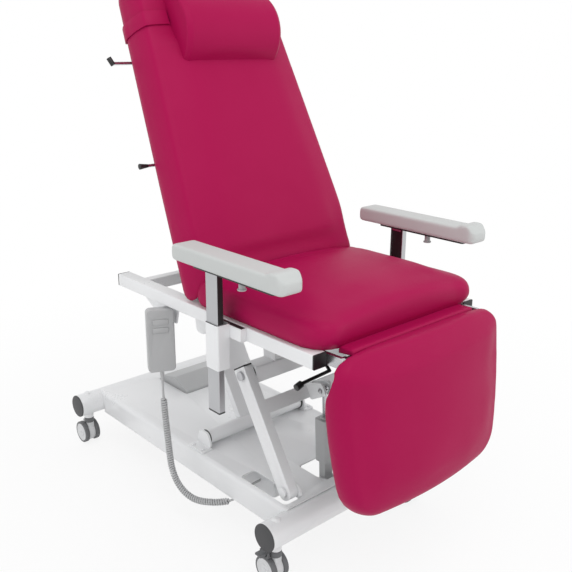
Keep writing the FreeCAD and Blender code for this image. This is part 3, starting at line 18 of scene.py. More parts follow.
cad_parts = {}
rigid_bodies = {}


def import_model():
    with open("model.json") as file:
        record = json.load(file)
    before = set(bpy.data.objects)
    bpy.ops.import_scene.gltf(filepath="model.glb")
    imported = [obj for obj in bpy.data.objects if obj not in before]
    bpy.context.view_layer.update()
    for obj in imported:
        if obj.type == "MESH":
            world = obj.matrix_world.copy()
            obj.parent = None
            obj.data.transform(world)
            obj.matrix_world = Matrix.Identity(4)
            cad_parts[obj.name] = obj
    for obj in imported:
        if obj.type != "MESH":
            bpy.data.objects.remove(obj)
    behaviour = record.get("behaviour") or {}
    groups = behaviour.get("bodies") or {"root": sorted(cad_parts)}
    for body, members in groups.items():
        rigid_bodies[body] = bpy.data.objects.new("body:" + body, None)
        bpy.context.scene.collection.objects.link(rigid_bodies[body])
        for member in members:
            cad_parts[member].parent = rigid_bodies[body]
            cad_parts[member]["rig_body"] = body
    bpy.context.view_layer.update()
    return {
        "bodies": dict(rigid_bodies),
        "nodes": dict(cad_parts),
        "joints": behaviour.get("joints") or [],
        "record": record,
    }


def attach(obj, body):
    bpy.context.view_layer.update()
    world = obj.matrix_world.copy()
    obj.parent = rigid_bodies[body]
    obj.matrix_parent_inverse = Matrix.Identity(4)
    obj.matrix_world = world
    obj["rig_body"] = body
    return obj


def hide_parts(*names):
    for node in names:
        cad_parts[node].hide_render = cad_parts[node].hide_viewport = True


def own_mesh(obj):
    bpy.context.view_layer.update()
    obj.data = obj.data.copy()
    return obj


LOG = logging.getLogger("recliner")
Colour = tuple[float, float, float, float]
Point = tuple[float, float, float]
Frame = dict[str, Any]
Obj = bpy.types.Object
Tree = bpy.types.ShaderNodeTree
Socket = bpy.types.NodeSocket
Form = Callable[[np.ndarray], np.ndarray]
WHITE_LIGHT: Colour = (1.0, 1.0, 1.0, 1.0)
UP: Point = (0.0, 0.0, 1.0)


def tone(red: int, green: int, blue: int) -> Colour:
    """Turn a screen colour, each part from 0 to 255, into the linear colour that shaders use."""
    linear = []
    for value in (red, green, blue):
        share = value / 255.0
        linear.append(share / 12.92 if share <= 0.04045 else ((share + 0.055) / 1.055) ** 2.4)
    return linear[0], linear[1], linear[2], 1.0


def ramp(values: np.ndarray, low: float, high: float) -> np.ndarray:
    """Rise smoothly from 0 to 1 between two values."""
    share = np.clip((values - low) / (high - low), 0.0, 1.0)
    return share * share * (3.0 - 2.0 * share)


class Slot(Enum):
    """The record's material slots."""

    UPHOLSTERY = "upholstery"
    PAINT = "white_paint"
    DARK = "dark_plastic"
    PAD = "pad_grey"
    ALUMINIUM = "satin_aluminium"
    STEEL = "bright_steel"
    BLACK = "black_paint"
    PLASTIC = "light_plastic"
    WHEEL = "wheel_grey"
    BOARD = "board"
    CORD = "cord"


class Pick(Enum):
    """What an edit-mode selection is made of."""

    EDGE = "edges"
    FACE = "faces"


class Effect(Enum):
    """The shader effects that several finishes share."""

    GRAIN = "fine_grain"
    DRIFT = "slow_drift"
    RIPPLE = "skin_ripple"
    LINES = "drawn_lines"


class Bench:
    """Modelling by operators: bars, copies, selections by place, edits and modifiers."""

    joined: float = 2e-6
    weight_steps: int = 20

    @staticmethod
    def alone(obj: Obj) -> None:
        """Select one object and nothing else."""
        bpy.ops.object.select_all(action="DESELECT")
        obj.select_set(True)
        bpy.context.view_layer.objects.active = obj

    @staticmethod
    def settle(name: str) -> Obj:
        """Name the object that an operator has just added and put its place into its mesh."""
        obj = bpy.context.view_layer.objects.active
        obj.name = name
        obj.data.name = name
        bpy.ops.object.transform_apply(location=True, rotation=True, scale=True)
        return obj

    @classmethod
    def rod(cls, name: str, start: Point, end: Point, radius: float, sides: int) -> Obj:
        """Add a round bar between two points.

        Args:
            name: The piece's name.
            start: Middle of the first end in metres.
            end: Middle of the other end in metres.
            radius: Radius in metres.
            sides: Faces round the bar.

        Returns:
            The bar.
        """
        bpy.ops.object.select_all(action="DESELECT")
        line = Vector(end) - Vector(start)
        turn = Vector(UP).rotation_difference(line).to_euler()
        bpy.ops.mesh.primitive_cylinder_add(vertices=sides, radius=radius, depth=line.length,
                                            location=(Vector(start) + Vector(end)) / 2.0, rotation=turn)
        return cls.settle(name)

    @classmethod
    def edit(cls, obj: Obj, action: str = "DESELECT") -> None:
        """Open an object in edit mode with nothing selected, or with all of it."""
        cls.alone(obj)
        bpy.ops.object.mode_set(mode="EDIT")
        bpy.ops.mesh.select_all(action=action)

    @staticmethod
    def close() -> None:
        """Leave edit mode."""
        bpy.ops.object.mode_set(mode="OBJECT")

    @staticmethod
    def choose(obj: Obj, kind: Pick, test: Callable[[Any], bool]) -> None:
        """Select the elements of the mesh in edit mode that pass a test.

        Args:
            obj: The object in edit mode.
            kind: Edges or faces.
            test: Gets one element and says whether it is selected.
        """
        bpy.ops.mesh.select_mode(type=kind.name)
        bpy.ops.mesh.select_all(action="DESELECT")
        mesh = bmesh.from_edit_mesh(obj.data)
        for element in getattr(mesh, kind.value):
            if test(element):
                element.select_set(True)
        mesh.select_flush_mode()
        bmesh.update_edit_mesh(obj.data)

    @classmethod
    def modify(cls, obj: Obj, kind: str, **settings: Any) -> None:
        """Add one modifier and apply it.

        Args:
            obj: The object.
            kind: Blender's type of modifier.
            settings: The modifier's own settings.
        """
        modifier = obj.modifiers.new(kind.lower(), kind)
        for key, value in settings.items():
            setattr(modifier, key, value)
        cls.alone(obj)
        bpy.ops.object.modifier_apply(modifier=modifier.name)

    @classmethod
    def smooth(cls, obj: Obj, degrees: float) -> None:
        """Shade an object smooth, with edges over an angle left sharp."""
        cls.alone(obj)
        bpy.ops.object.shade_smooth_by_angle(angle=math.radians(degrees))

    @classmethod
    def double(cls, source: Obj, name: str) -> Obj:
        """Copy an object, with a mesh of its own, and select the copy alone."""
        obj = bpy.data.objects.new(name, source.data.copy())
        obj.data.name = name
        bpy.context.scene.collection.objects.link(obj)
        cls.alone(obj)
        return obj

    @classmethod
    def moved(cls, source: Obj, name: str, matrix: Matrix) -> Obj:
        """Copy a finished piece and put a move into the copy's mesh.

        Args:
            source: The piece to copy.
            name: The copy's name.
            matrix: How the copy is moved.

        Returns:
            The copy.
        """
        obj = cls.double(source, name)
        obj.matrix_world = matrix @ obj.matrix_world
        bpy.ops.object.transform_apply(location=True, rotation=True, scale=True)
        return obj

    @classmethod
    def twin(cls, source: Obj, name: str) -> Obj:
        """Copy a solid's mesh into a new object and join its facets.

        Args:
            source: The solid.
            name: The copy's name.

        Returns:
            The copy, with one closed skin for each body of the solid.
        """
        obj = cls.double(source, name)
        bpy.ops.mesh.customdata_custom_splitnormals_clear()
        cls.edit(obj, "SELECT")
        bpy.ops.mesh.remove_doubles(threshold=cls.joined)
        cls.close()
        return obj

    @classmethod
    def remesh(cls, obj: Obj, voxel: float) -> None:
        """Give an object an even mesh of small quads."""
        cls.alone(obj)
        obj.data.remesh_voxel_size = voxel
        obj.data.remesh_voxel_adaptivity = 0.0
        bpy.ops.object.voxel_remesh()

    @staticmethod
    def points(obj: Obj, what: str = "co") -> np.ndarray:
        """Read an object's points, or what else its vertices have, as rows of a table."""
        flat = np.empty(3 * len(obj.data.vertices))
        obj.data.vertices.foreach_get(what, flat)
        return flat.reshape(-1, 3)

    @staticmethod
    def put(obj: Obj, points: np.ndarray) -> None:
        """Move an object's points to the rows of a table."""
        obj.data.vertices.foreach_set("co", points.ravel())
        obj.data.update()

    @staticmethod
    def calm(obj: Obj, values: np.ndarray, rounds: int) -> np.ndarray:
        """Even out values over a mesh.

        Args:
            obj: The mesh's object.
            values: One value for each of its points.
            rounds: How often each value moves half way to the mean of its neighbours.

        Returns:
            The evened values.
        """
        ends = np.empty(2 * len(obj.data.edges), dtype=np.int64)
        obj.data.edges.foreach_get("vertices", ends)
        one, two = ends[0::2], ends[1::2]
        size = len(values)
        share = np.maximum(np.bincount(one, minlength=size) + np.bincount(two, minlength=size), 1)
        for _ in range(rounds):
            around = np.bincount(one, values[two], size) + np.bincount(two, values[one], size)
            values = 0.5 * values + 0.5 * around / share
        return values

    @classmethod
    def weigh(cls, obj: Obj, name: str, weights: np.ndarray) -> None:
        """Add a vertex group with a weight, in even steps, for every point."""
        group = obj.vertex_groups.new(name=name)
        for step in range(1, cls.weight_steps + 1):
            near = np.flatnonzero(np.rint(weights * cls.weight_steps) == step)
            if len(near):
                group.add([int(i) for i in near], step / cls.weight_steps, "REPLACE")


def node(tree: Tree, kind: str, values: dict[str | int, Any] | None = None, **settings: Any) -> bpy.types.Node:
    """Add a shader node.

    Args:
        tree: The nodes that it joins.
        kind: Blender's name for it, without the prefix.
        values: For its inputs, by name or number, the constant or the socket that feeds them.
        settings: The node's own settings.

    Returns:
        The node.
    """
    made = tree.nodes.new("ShaderNode" + kind)
    for key, value in settings.items():
        setattr(made, key, value)
    for key, value in (values or {}).items():
        if isinstance(value, Socket):
            tree.links.new(value, made.inputs[key])
        else:
            made.inputs[key].default_value = value
    return made


class ShaderKit:
    """The shared effects as node groups, each built once, from Vector and Scale to Value."""

    _groups: dict[Effect, Tree] = {}

    @classmethod
    def use(cls, tree: Tree, effect: Effect, place: Socket, scale: float) -> Socket:
        """Put an effect's group into a material.

        Args:
            tree: The material's nodes.
            effect: The effect.
            place: The coordinates that it reads.
            scale: Its scale.

        Returns:
            The effect's value.
        """
        if effect not in cls._groups:
            cls._groups[effect] = cls._made(effect)
        group = node(tree, "Group", node_tree=cls._groups[effect])
        group.inputs["Scale"].default_value = scale
        tree.links.new(place, group.inputs["Vector"])
        return group.outputs["Value"]

    @classmethod
    def _made(cls, effect: Effect) -> Tree:
        """Build an effect's group."""
        builders = {Effect.GRAIN: cls._grain, Effect.DRIFT: cls._drift, Effect.RIPPLE: cls._ripple,
                    Effect.LINES: cls._lines}
        group = bpy.data.node_groups.new(effect.value, "ShaderNodeTree")
        for label, way, kind in (("Vector", "INPUT", "NodeSocketVector"), ("Scale", "INPUT", "NodeSocketFloat"),
                                 ("Value", "OUTPUT", "NodeSocketFloat")):
            group.interface.new_socket(name=label, in_out=way, socket_type=kind)
        start, end = group.nodes.new("NodeGroupInput"), group.nodes.new("NodeGroupOutput")
        value = builders[effect](group, start.outputs["Vector"], start.outputs["Scale"])
        group.links.new(value, end.inputs["Value"])
        return group

    @staticmethod
    def _grain(tree: Tree, vector: Socket, scale: Socket) -> Socket:
        """Leather-like grain: small cells with soft creases between them."""
        half = node(tree, "Math", {0: scale, 1: 0.35}, operation="MULTIPLY")
        warp = node(tree, "TexNoise", {"Vector": vector, "Scale": half.outputs[0], "Detail": 2.0})
        bend = node(tree, "VectorMath", {0: warp.outputs["Color"], 1: (0.0012, 0.0012, 0.0012), 2: vector},
                    operation="MULTIPLY_ADD")
        cells = node(tree, "TexVoronoi", {"Vector": bend.outputs[0], "Scale": scale, "Smoothness": 0.45},
                     feature="SMOOTH_F1")
        crown = node(tree, "MapRange", {"Value": cells.outputs["Distance"], "From Max": 0.75, "To Min": 1.0,
                                        "To Max": 0.0}, interpolation_type="SMOOTHSTEP")
        return crown.outputs["Result"]

    @staticmethod
    def _drift(tree: Tree, vector: Socket, scale: Socket) -> Socket:
        """Slow variation over a surface, with finer mottling on it."""
        many = node(tree, "Math", {0: scale, 1: 23.0}, operation="MULTIPLY")
        broad = node(tree, "TexNoise", {"Vector": vector, "Scale": scale, "Detail": 3.0})
        fine = node(tree, "TexNoise", {"Vector": vector, "Scale": many.outputs[0], "Detail": 4.0})
        blend = node(tree, "Mix", {"Factor": 0.3, "A": broad.outputs["Fac"], "B": fine.outputs["Fac"]})
        return blend.outputs["Result"]

    @staticmethod
    def _ripple(tree: Tree, vector: Socket, scale: Socket) -> Socket:
        """The faint ripple of a sprayed or moulded skin."""
        return node(tree, "TexNoise", {"Vector": vector, "Scale": scale, "Detail": 1.5}).outputs["Fac"]

    @staticmethod
    def _lines(tree: Tree, vector: Socket, scale: Socket) -> Socket:
        """Fine lines drawn along Z, as on extruded or ground metal."""
        stretch = node(tree, "VectorMath", {0: vector, 1: (1.0, 1.0, 0.02)}, operation="MULTIPLY")
        lines = node(tree, "TexNoise", {"Vector": stretch.outputs[0], "Scale": scale, "Detail": 3.0})
        return lines.outputs["Fac"]


@dataclass(frozen=True)
class Finish:
    """A procedural finish: drifting colour and roughness over a relief."""

    name: str
    slot: Slot
    colour: Colour
    shade: Colour
    rough: tuple[float, float]
    relief: Effect
    relief_scale: float
    relief_depth: float
    metallic: float = 0.0
    specular: float = 0.5
    coat: float = 0.0
    coat_rough: float = 0.12
    relief_strength: float = 0.6
    drift_scale: float = 8.0
    drift_span: tuple[float, float] = (0.3, 0.7)

    def material(self) -> bpy.types.Material:
        """Build the material, or give the one already built."""
        made = bpy.data.materials.get(self.name)
        if made is not None:
            return made
        made = bpy.data.materials.new(self.name)
        made.use_nodes = True
        tree = made.node_tree
        shader = tree.nodes["Principled BSDF"].inputs
        shader["Metallic"].default_value = self.metallic
        shader["Specular IOR Level"].default_value = self.specular
        shader["Coat Weight"].default_value = self.coat
        shader["Coat Roughness"].default_value = self.coat_rough
        place = node(tree, "TexCoord").outputs["Object"]
        drift = ShaderKit.use(tree, Effect.DRIFT, place, self.drift_scale)
        mix = node(tree, "Mix", {"Factor": drift, "A": self.colour, "B": self.shade}, data_type="RGBA")
        rough = node(tree, "MapRange", {"Value": drift, "From Min": self.drift_span[0],
                                        "From Max": self.drift_span[1], "To Min": self.rough[0],
                                        "To Max": self.rough[1]})
        relief = ShaderKit.use(tree, self.relief, place, self.relief_scale)
        bump = node(tree, "Bump", {"Height": relief, "Strength": self.relief_strength,
                                   "Distance": self.relief_depth})
        tree.links.new(mix.outputs["Result"], shader["Base Color"])
        tree.links.new(rough.outputs["Result"], shader["Roughness"])
        tree.links.new(bump.outputs["Normal"], shader["Normal"])
        return made


VINYL = Finish("magenta_vinyl", Slot.UPHOLSTERY, tone(169, 13, 78), tone(163, 10, 73), (0.42, 0.52),
               Effect.GRAIN, 650.0, 0.00010, specular=0.11)
WHITE = Finish("white_enamel", Slot.PAINT, tone(238, 239, 240), tone(231, 232, 234), (0.26, 0.36),
               Effect.RIPPLE, 420.0, 0.00006, coat=0.15)
CAP_GREY = Finish("cap_plastic", Slot.DARK, tone(70, 70, 72), tone(60, 60, 62), (0.45, 0.58),
                  Effect.RIPPLE, 1500.0, 0.00006)
BLACK_PLASTIC = Finish("black_plastic", Slot.DARK, tone(28, 28, 29), tone(22, 22, 23), (0.38, 0.5),
                       Effect.RIPPLE, 1500.0, 0.00006)
PAD_FOAM = Finish("pad_skin", Slot.PAD, tone(202, 205, 204), tone(194, 197, 196), (0.5, 0.6),
                  Effect.GRAIN, 900.0, 0.00008)
ALUMINIUM = Finish("satin_anodised", Slot.ALUMINIUM, tone(196, 197, 199), tone(182, 183, 186), (0.3, 0.42),
                   Effect.LINES, 900.0, 0.00002, metallic=1.0)
STEEL = Finish("ground_steel", Slot.STEEL, tone(200, 200, 202), tone(184, 184, 188), (0.2, 0.32),
               Effect.LINES, 1200.0, 0.00002, metallic=1.0)
BLACK_STEEL = Finish("black_enamel", Slot.BLACK, tone(30, 30, 31), tone(23, 23, 24), (0.3, 0.42),
                     Effect.RIPPLE, 500.0, 0.00006)
GREY_PLASTIC = Finish("grey_plastic", Slot.PLASTIC, tone(186, 187, 188), tone(176, 177, 178), (0.38, 0.5),
                      Effect.RIPPLE, 1400.0, 0.00008)
DARK_GREY = Finish("dark_grey_plastic", Slot.PLASTIC, tone(104, 105, 107), tone(94, 95, 97), (0.4, 0.52),
                   Effect.RIPPLE, 1400.0, 0.00008)
PALE_DISC = Finish("pale_disc_plastic", Slot.WHEEL, tone(222, 223, 224), tone(212, 213, 215), (0.3, 0.4),
                   Effect.RIPPLE, 900.0, 0.00005)
TREAD = Finish("tread_rubber", Slot.WHEEL, tone(112, 113, 115), tone(100, 101, 103), (0.55, 0.7),
               Effect.RIPPLE, 1200.0, 0.0001)
BOARD = Finish("board_laminate", Slot.BOARD, tone(44, 43, 43), tone(36, 35, 35), (0.5, 0.62),
               Effect.RIPPLE, 700.0, 0.0001)
CORD_SKIN = Finish("cord_jacket", Slot.CORD, tone(188, 189, 190), tone(176, 177, 178), (0.42, 0.52),
                   Effect.RIPPLE, 1500.0, 0.00005)


def paint(obj: Obj, finish: Finish, test: Callable[[Vector, Vector], bool]) -> None:
    """Give some faces of a dressed piece a second finish.

    Args:
        obj: The piece.
        finish: The finish of those faces.
        test: Gets a face's middle and its normal and says whether it is one of them.
    """
    obj.data.materials.append(finish.material())
    index = len(obj.data.materials) - 1
    for face in obj.data.polygons:
        if test(face.center, face.normal):
            face.material_index = index


def mount(obj: Obj, body: str, finish: Finish, nodes: Iterable[str]) -> Obj:
    """Finish a new piece: dress it, let it ride on its body and stand for its nodes.

    Args:
        obj: The piece, in place.
        body: The body that carries it.
        finish: Its finish.
        nodes: The solids that it stands for.

    Returns:
        The piece.
    """
    obj.data.materials.clear()
    obj.data.materials.append(finish.material())
    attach(obj, body)
    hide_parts(*nodes)
    LOG.info("%s rides on %s", obj.name, body)
    return obj


@dataclass(frozen=True)
class Camera:
    """The photograph's viewpoint, solved from its lines, with its angles in degrees."""

    place: Point = (-1.40299, -1.77188, 1.35489)
    yaw: float = 42.2125
    down: float = 17.6171
    roll: float = 0.3541
    lens: float = 48.33
    sensor: float = 36.0
    reach: float = 60.0

    def build(self) -> None:
        """Add the camera and make it the scene's own."""
        data = bpy.data.cameras.new("photo_camera")
        data.sensor_width = self.sensor
        data.lens = self.lens
        data.clip_end = self.reach
        obj = bpy.data.objects.new("photo_camera", data)
        bpy.context.scene.collection.objects.link(obj)
        turn = Matrix.Identity(4)
        for angle, axis in ((-self.yaw, "Z"), (90.0 - self.down, "X"), (self.roll, "Z")):
            turn = turn @ Matrix.Rotation(math.radians(angle), 4, axis)
        obj.matrix_world = Matrix.Translation(self.place) @ turn
        bpy.context.scene.camera = obj


@dataclass(frozen=True)
class Studio:
    """A pale floor, a white surround and soft lamps."""

    floor_half: float = 9.0
    floor_white: float = 0.84
    floor_fade: tuple[float, float] = (0.3, 2.2)
    floor_colour: Colour = (0.9, 0.9, 0.9, 1.0)
    ambient: float = 0.80
    lamps: tuple[tuple[str, Point, Point, float, float], ...] = (
        ("key", (-0.9, -1.9, 3.9), (0.0, -0.2, 0.6), 2.8, 40.0),
        ("side", (-3.2, 0.6, 1.6), (0.0, 0.0, 0.7), 2.2, 9.0),
        ("fill", (2.4, -2.8, 1.8), (0.0, -0.2, 0.6), 2.6, 12.0))

    def build(self) -> None:
        """Add the floor, the world and the lamps."""
        bpy.context.scene.view_settings.view_transform = "Standard"
        self._floor()
        self._world()
        for lamp in self.lamps:
            self._lamp(*lamp)

    def _floor(self) -> None:
        """Add the floor, which shows white and keeps a soft shadow."""
        bpy.ops.object.select_all(action="DESELECT")
        bpy.ops.mesh.primitive_plane_add(size=2.0 * self.floor_half)
        floor = Bench.settle("studio_floor")
        material = bpy.data.materials.new("studio_white")
        material.use_nodes = True
        tree = material.node_tree
        shader = tree.nodes["Principled BSDF"]
        for name, value in (("Base Color", self.floor_colour), ("Roughness", 0.9), ("Specular IOR Level", 0.1)):
            shader.inputs[name].default_value = value
        reach = node(tree, "VectorMath", {0: node(tree, "TexCoord").outputs["Object"]}, operation="LENGTH")
        near, far = self.floor_fade
        fade = node(tree, "MapRange", {"Value": reach.outputs["Value"], "From Min": near, "From Max": far,
                                       "To Min": self.floor_white, "To Max": 1.0},
                    interpolation_type="SMOOTHSTEP")
        self._shown_white(tree, "Emission", shader.outputs["BSDF"],
                          tree.nodes["Material Output"].inputs["Surface"], fade.outputs["Result"])
        floor.data.materials.append(material)

    @staticmethod
    def _shown_white(tree: Tree, kind: str, under: Socket, out: Socket, share: Socket | float) -> None:
        """Mix plain white over a shader for the rays that show a background.

        Args:
            tree: The nodes.
            kind: The node that gives the white.
            under: The shader for all other rays.
            out: Where the mix goes.
            share: How much of the white is mixed in.
        """
        rays = node(tree, "LightPath").outputs
        seen = rays["Is Camera Ray"]
        for name in ("Is Glossy Ray", "Is Transmission Ray"):
            seen = node(tree, "Math", {0: seen, 1: rays[name]}, operation="MAXIMUM").outputs[0]
        part = node(tree, "Math", {0: seen, 1: share}, operation="MULTIPLY")
        white = node(tree, kind, {"Color": WHITE_LIGHT, "Strength": 1.0})
        mix = node(tree, "MixShader", {0: part.outputs[0], 1: under, 2: white.outputs[0]})
        tree.links.new(mix.outputs[0], out)

    def _world(self) -> None:
        """Light the scene evenly and show white behind it."""
        world = bpy.data.worlds.new("studio_world")
        bpy.context.scene.world = world
        world.use_nodes = True
        tree = world.node_tree
        back = tree.nodes["Background"]
        back.inputs["Color"].default_value = WHITE_LIGHT
        back.inputs["Strength"].default_value = self.ambient
        self._shown_white(tree, "Background", back.outputs[0], tree.nodes["World Output"].inputs["Surface"], 1.0)

    @staticmethod
    def _lamp(name: str, place: Point, target: Point, size: float, power: float) -> None:
        """Add a large square lamp that looks at a point.

        Args:
            name: The lamp's name.
            place: Where it stands, in metres.
            target: The point that it looks at.
            size: Its side in metres.
            power: Its power in watts.
        """
        data = bpy.data.lights.new(name, "AREA")
        data.size = size
        data.energy = power
        obj = bpy.data.objects.new(name, data)
        bpy.context.scene.collection.objects.link(obj)
        aim = (Vector(target) - Vector(place)).to_track_quat("-Z", "Y")
        obj.matrix_world = Matrix.Translation(place) @ aim.to_matrix().to_4x4()


@dataclass(frozen=True)
class HandCord:
    """The hand control's cord: straight out of the handset, curly to the base, straight into the control box."""

    route: tuple[Point, ...] = ((-0.312, -0.046, 0.4296), (-0.312, -0.046, 0.372), (-0.312, -0.060, 0.250),
                                (-0.312, -0.076, 0.132), (-0.303, -0.150, 0.086), (-0.269, -0.224, 0.095),
                                (-0.221, -0.268, 0.107), (-0.200, -0.285, 0.150), (-0.1504, -0.285, 0.150))
    route_steps: int = 24
    curl_steps: int = 3
    radius: float = 0.0032
    curl_radius: float = 0.007
    pitch: float = 0.0069
    straight_start: float = 0.052
    straight_end: float = 0.112
    points_at_start: int = 6
    points_per_turn: int = 16
    points_at_end: int = 8
    reach_keep: float = 0.63

    def build(self) -> None:
        """Lay the cord along its route and let it ride on the seat frame."""
        curls = self._curled(self._line("cord_route", self.route, self.route_steps)[1])
        cord, path = self._line("handset_cord_curly", curls, self.curl_steps)
        cord.data.bevel_depth = self.radius
        cord.data.bevel_resolution = 3
        cord.data.use_fill_caps = True
        Bench.alone(cord)
        bpy.ops.object.convert(target="MESH")
        bpy.ops.object.shade_smooth()
        bpy.data.objects.remove(bpy.data.objects["cord_route"])
        mount(cord, "seat_frame", CORD_SKIN, ["handset_cord"])
        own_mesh(cord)

    @staticmethod
    def _line(name: str, points: Sequence[Sequence[float]], finely: int) -> tuple[Obj, list[Vector]]:
        """Lay one smooth open spline with some points as its control points.

        Args:
            name: The curve's name.
            points: The control points.
            finely: Steps between two of them.

        Returns:
            The curve and the points of its line, in order.
        """
        data = bpy.data.curves.new(name, "CURVE")
        data.dimensions = "3D"
        data.resolution_u = finely
        spline = data.splines.new("NURBS")
        spline.points.add(len(points) - 1)
        for knot, place in zip(spline.points, points):
            knot.co = (*place, 1.0)
        spline.order_u = 3
        spline.use_endpoint_u = True
        curve = bpy.data.objects.new(name, data)
        bpy.context.scene.collection.objects.link(curve)
        mesh = bpy.data.meshes.new_from_object(curve)
        line = [v.co.copy() for v in mesh.vertices]
        bpy.data.meshes.remove(mesh)
        return curve, line

    def _curled(self, line: Sequence[Vector]) -> list[Vector]:
        """Wind the middle stretch of a line into curls.

        Args:
            line: Points of the cord's middle line.

        Returns:
            Points of the cord itself.
        """
        ends = np.cumsum([0.0] + [(b - a).length for a, b in zip(line, line[1:])])
        total = float(ends[-1])

        def at(distance: float) -> tuple[Vector, Vector]:
            """Give the line's point at a distance along it, and its direction there."""
            i = min(int(np.searchsorted(ends, distance, side="right")) - 1, len(line) - 2)
            step = line[i + 1] - line[i]
            return line[i] + step * ((distance - ends[i]) / step.length), step.normalized()

        first, last = self.straight_start, total - self.straight_end
        turns = round((last - first) / self.pitch) - 2
        count = turns * self.points_per_turn
        points = [at(first * i / self.points_at_start)[0] for i in range(self.points_at_start)]
        side = Vector((0.0, 1.0, 0.0))
        for i in range(count + 1):
            middle, along = at(first + (last - first) * i / count)
            side = (side - along * side.dot(along)).normalized()
            grow = min(1.0, i / self.points_per_turn, (count - i) / self.points_per_turn)
            swell = self.curl_radius * (3.0 - 2.0 * grow) * grow * grow
            angle = 2.0 * math.pi * i / self.points_per_turn
            points.append(middle + (side * math.cos(angle) + along.cross(side) * math.sin(angle)) * swell)
        return points + [at(last + (total - last) * i / self.points_at_end)[0]
                         for i in range(1, self.points_at_end + 1)]


@dataclass(frozen=True)
class RigidNodes:
    """Painted, plated and moulded solids, shown as copies with softened edges."""

    sharp: float = 33.0
    flat: float = 0.4
    sleeve_top: float = 0.69
    grips: tuple[tuple[str, float], ...] = (("upper_back_lever", -0.2945), ("lower_back_lever", -0.279))

    def soften(self, frame: Frame, name: str, finish: Finish, width: float) -> Obj:
        """Copy a solid, merge its facets and round its edges.

        Args:
            frame: What the frame loader gave.
            name: The solid's name.
            finish: The copy's finish.
            width: How wide the rounding is, in metres.

        Returns:
            The copy, in place of the solid.
        """
        source = frame["nodes"][name]
        obj = Bench.twin(source, name + "_shown")
        Bench.edit(obj, "SELECT")
        bpy.ops.mesh.dissolve_limited(angle_limit=math.radians(self.flat))
        bpy.ops.mesh.select_mode(type="EDGE")
        bpy.ops.mesh.select_all(action="DESELECT")
        bpy.ops.mesh.edges_select_sharp(sharpness=math.radians(self.sharp))
        bpy.ops.mesh.bevel(offset=width, segments=2, affect="EDGES", clamp_overlap=True)
        Bench.close()
        Bench.smooth(obj, self.sharp)
        return mount(obj, source["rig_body"], finish, [name])

    def build(self, frame: Frame) -> None:
        """Show the rigid solids in their finishes, apart from those of the armrests and casters."""
        plan: tuple[tuple[Finish, float, tuple[str, ...]], ...] = (
            (WHITE, 0.0008, ("base_deck", "front_cross_tube", "rear_cross_tube", "lift_arm_brackets",
                             "rear_link_brackets", "motor_bracket", "lift_frame", "rear_link",
                             "seat_rail_left", "seat_rail_right", "seat_underframe", "armrest_sleeves",
                             "base_bolts", "control_box")),
            (CAP_GREY, 0.0006, ("tube_end_caps",)),
            (BLACK_PLASTIC, 0.0005, ("lift_arm_caps", "rear_link_caps", "seat_frame_caps")),
            (GREY_PLASTIC, 0.0008, ("battery_pack", "lift_motor", "armrest_left_button", "armrest_right_button",
                                    "handset_shell", "handset_up_key", "handset_down_key")),
            (STEEL, 0.0004, ("hinge_brackets", "lift_motor_rod", "back_spring_rod", "leg_spring_rod")),
            (BLACK_STEEL, 0.0004, ("back_hinge_arms", "leg_hinge_arms", "back_spring_cylinder",
                                   "leg_spring_cylinder", "leg_lever")),
            (BOARD, 0.0006, ("seat_board", "back_board", "leg_board")),
        )
        for finish, width, names in plan:
            for name in names:
                self.soften(frame, name, finish, width)
        paint(bpy.data.objects["armrest_sleeves_shown"], BLACK_PLASTIC,
              lambda middle, normal: normal.z > 0.9 and middle.z > self.sleeve_top)
        for name, grip in self.grips:
            lever = self.soften(frame, name, STEEL, 0.0004)
            paint(lever, BLACK_PLASTIC, lambda middle, normal, grip=grip: middle.x < grip)


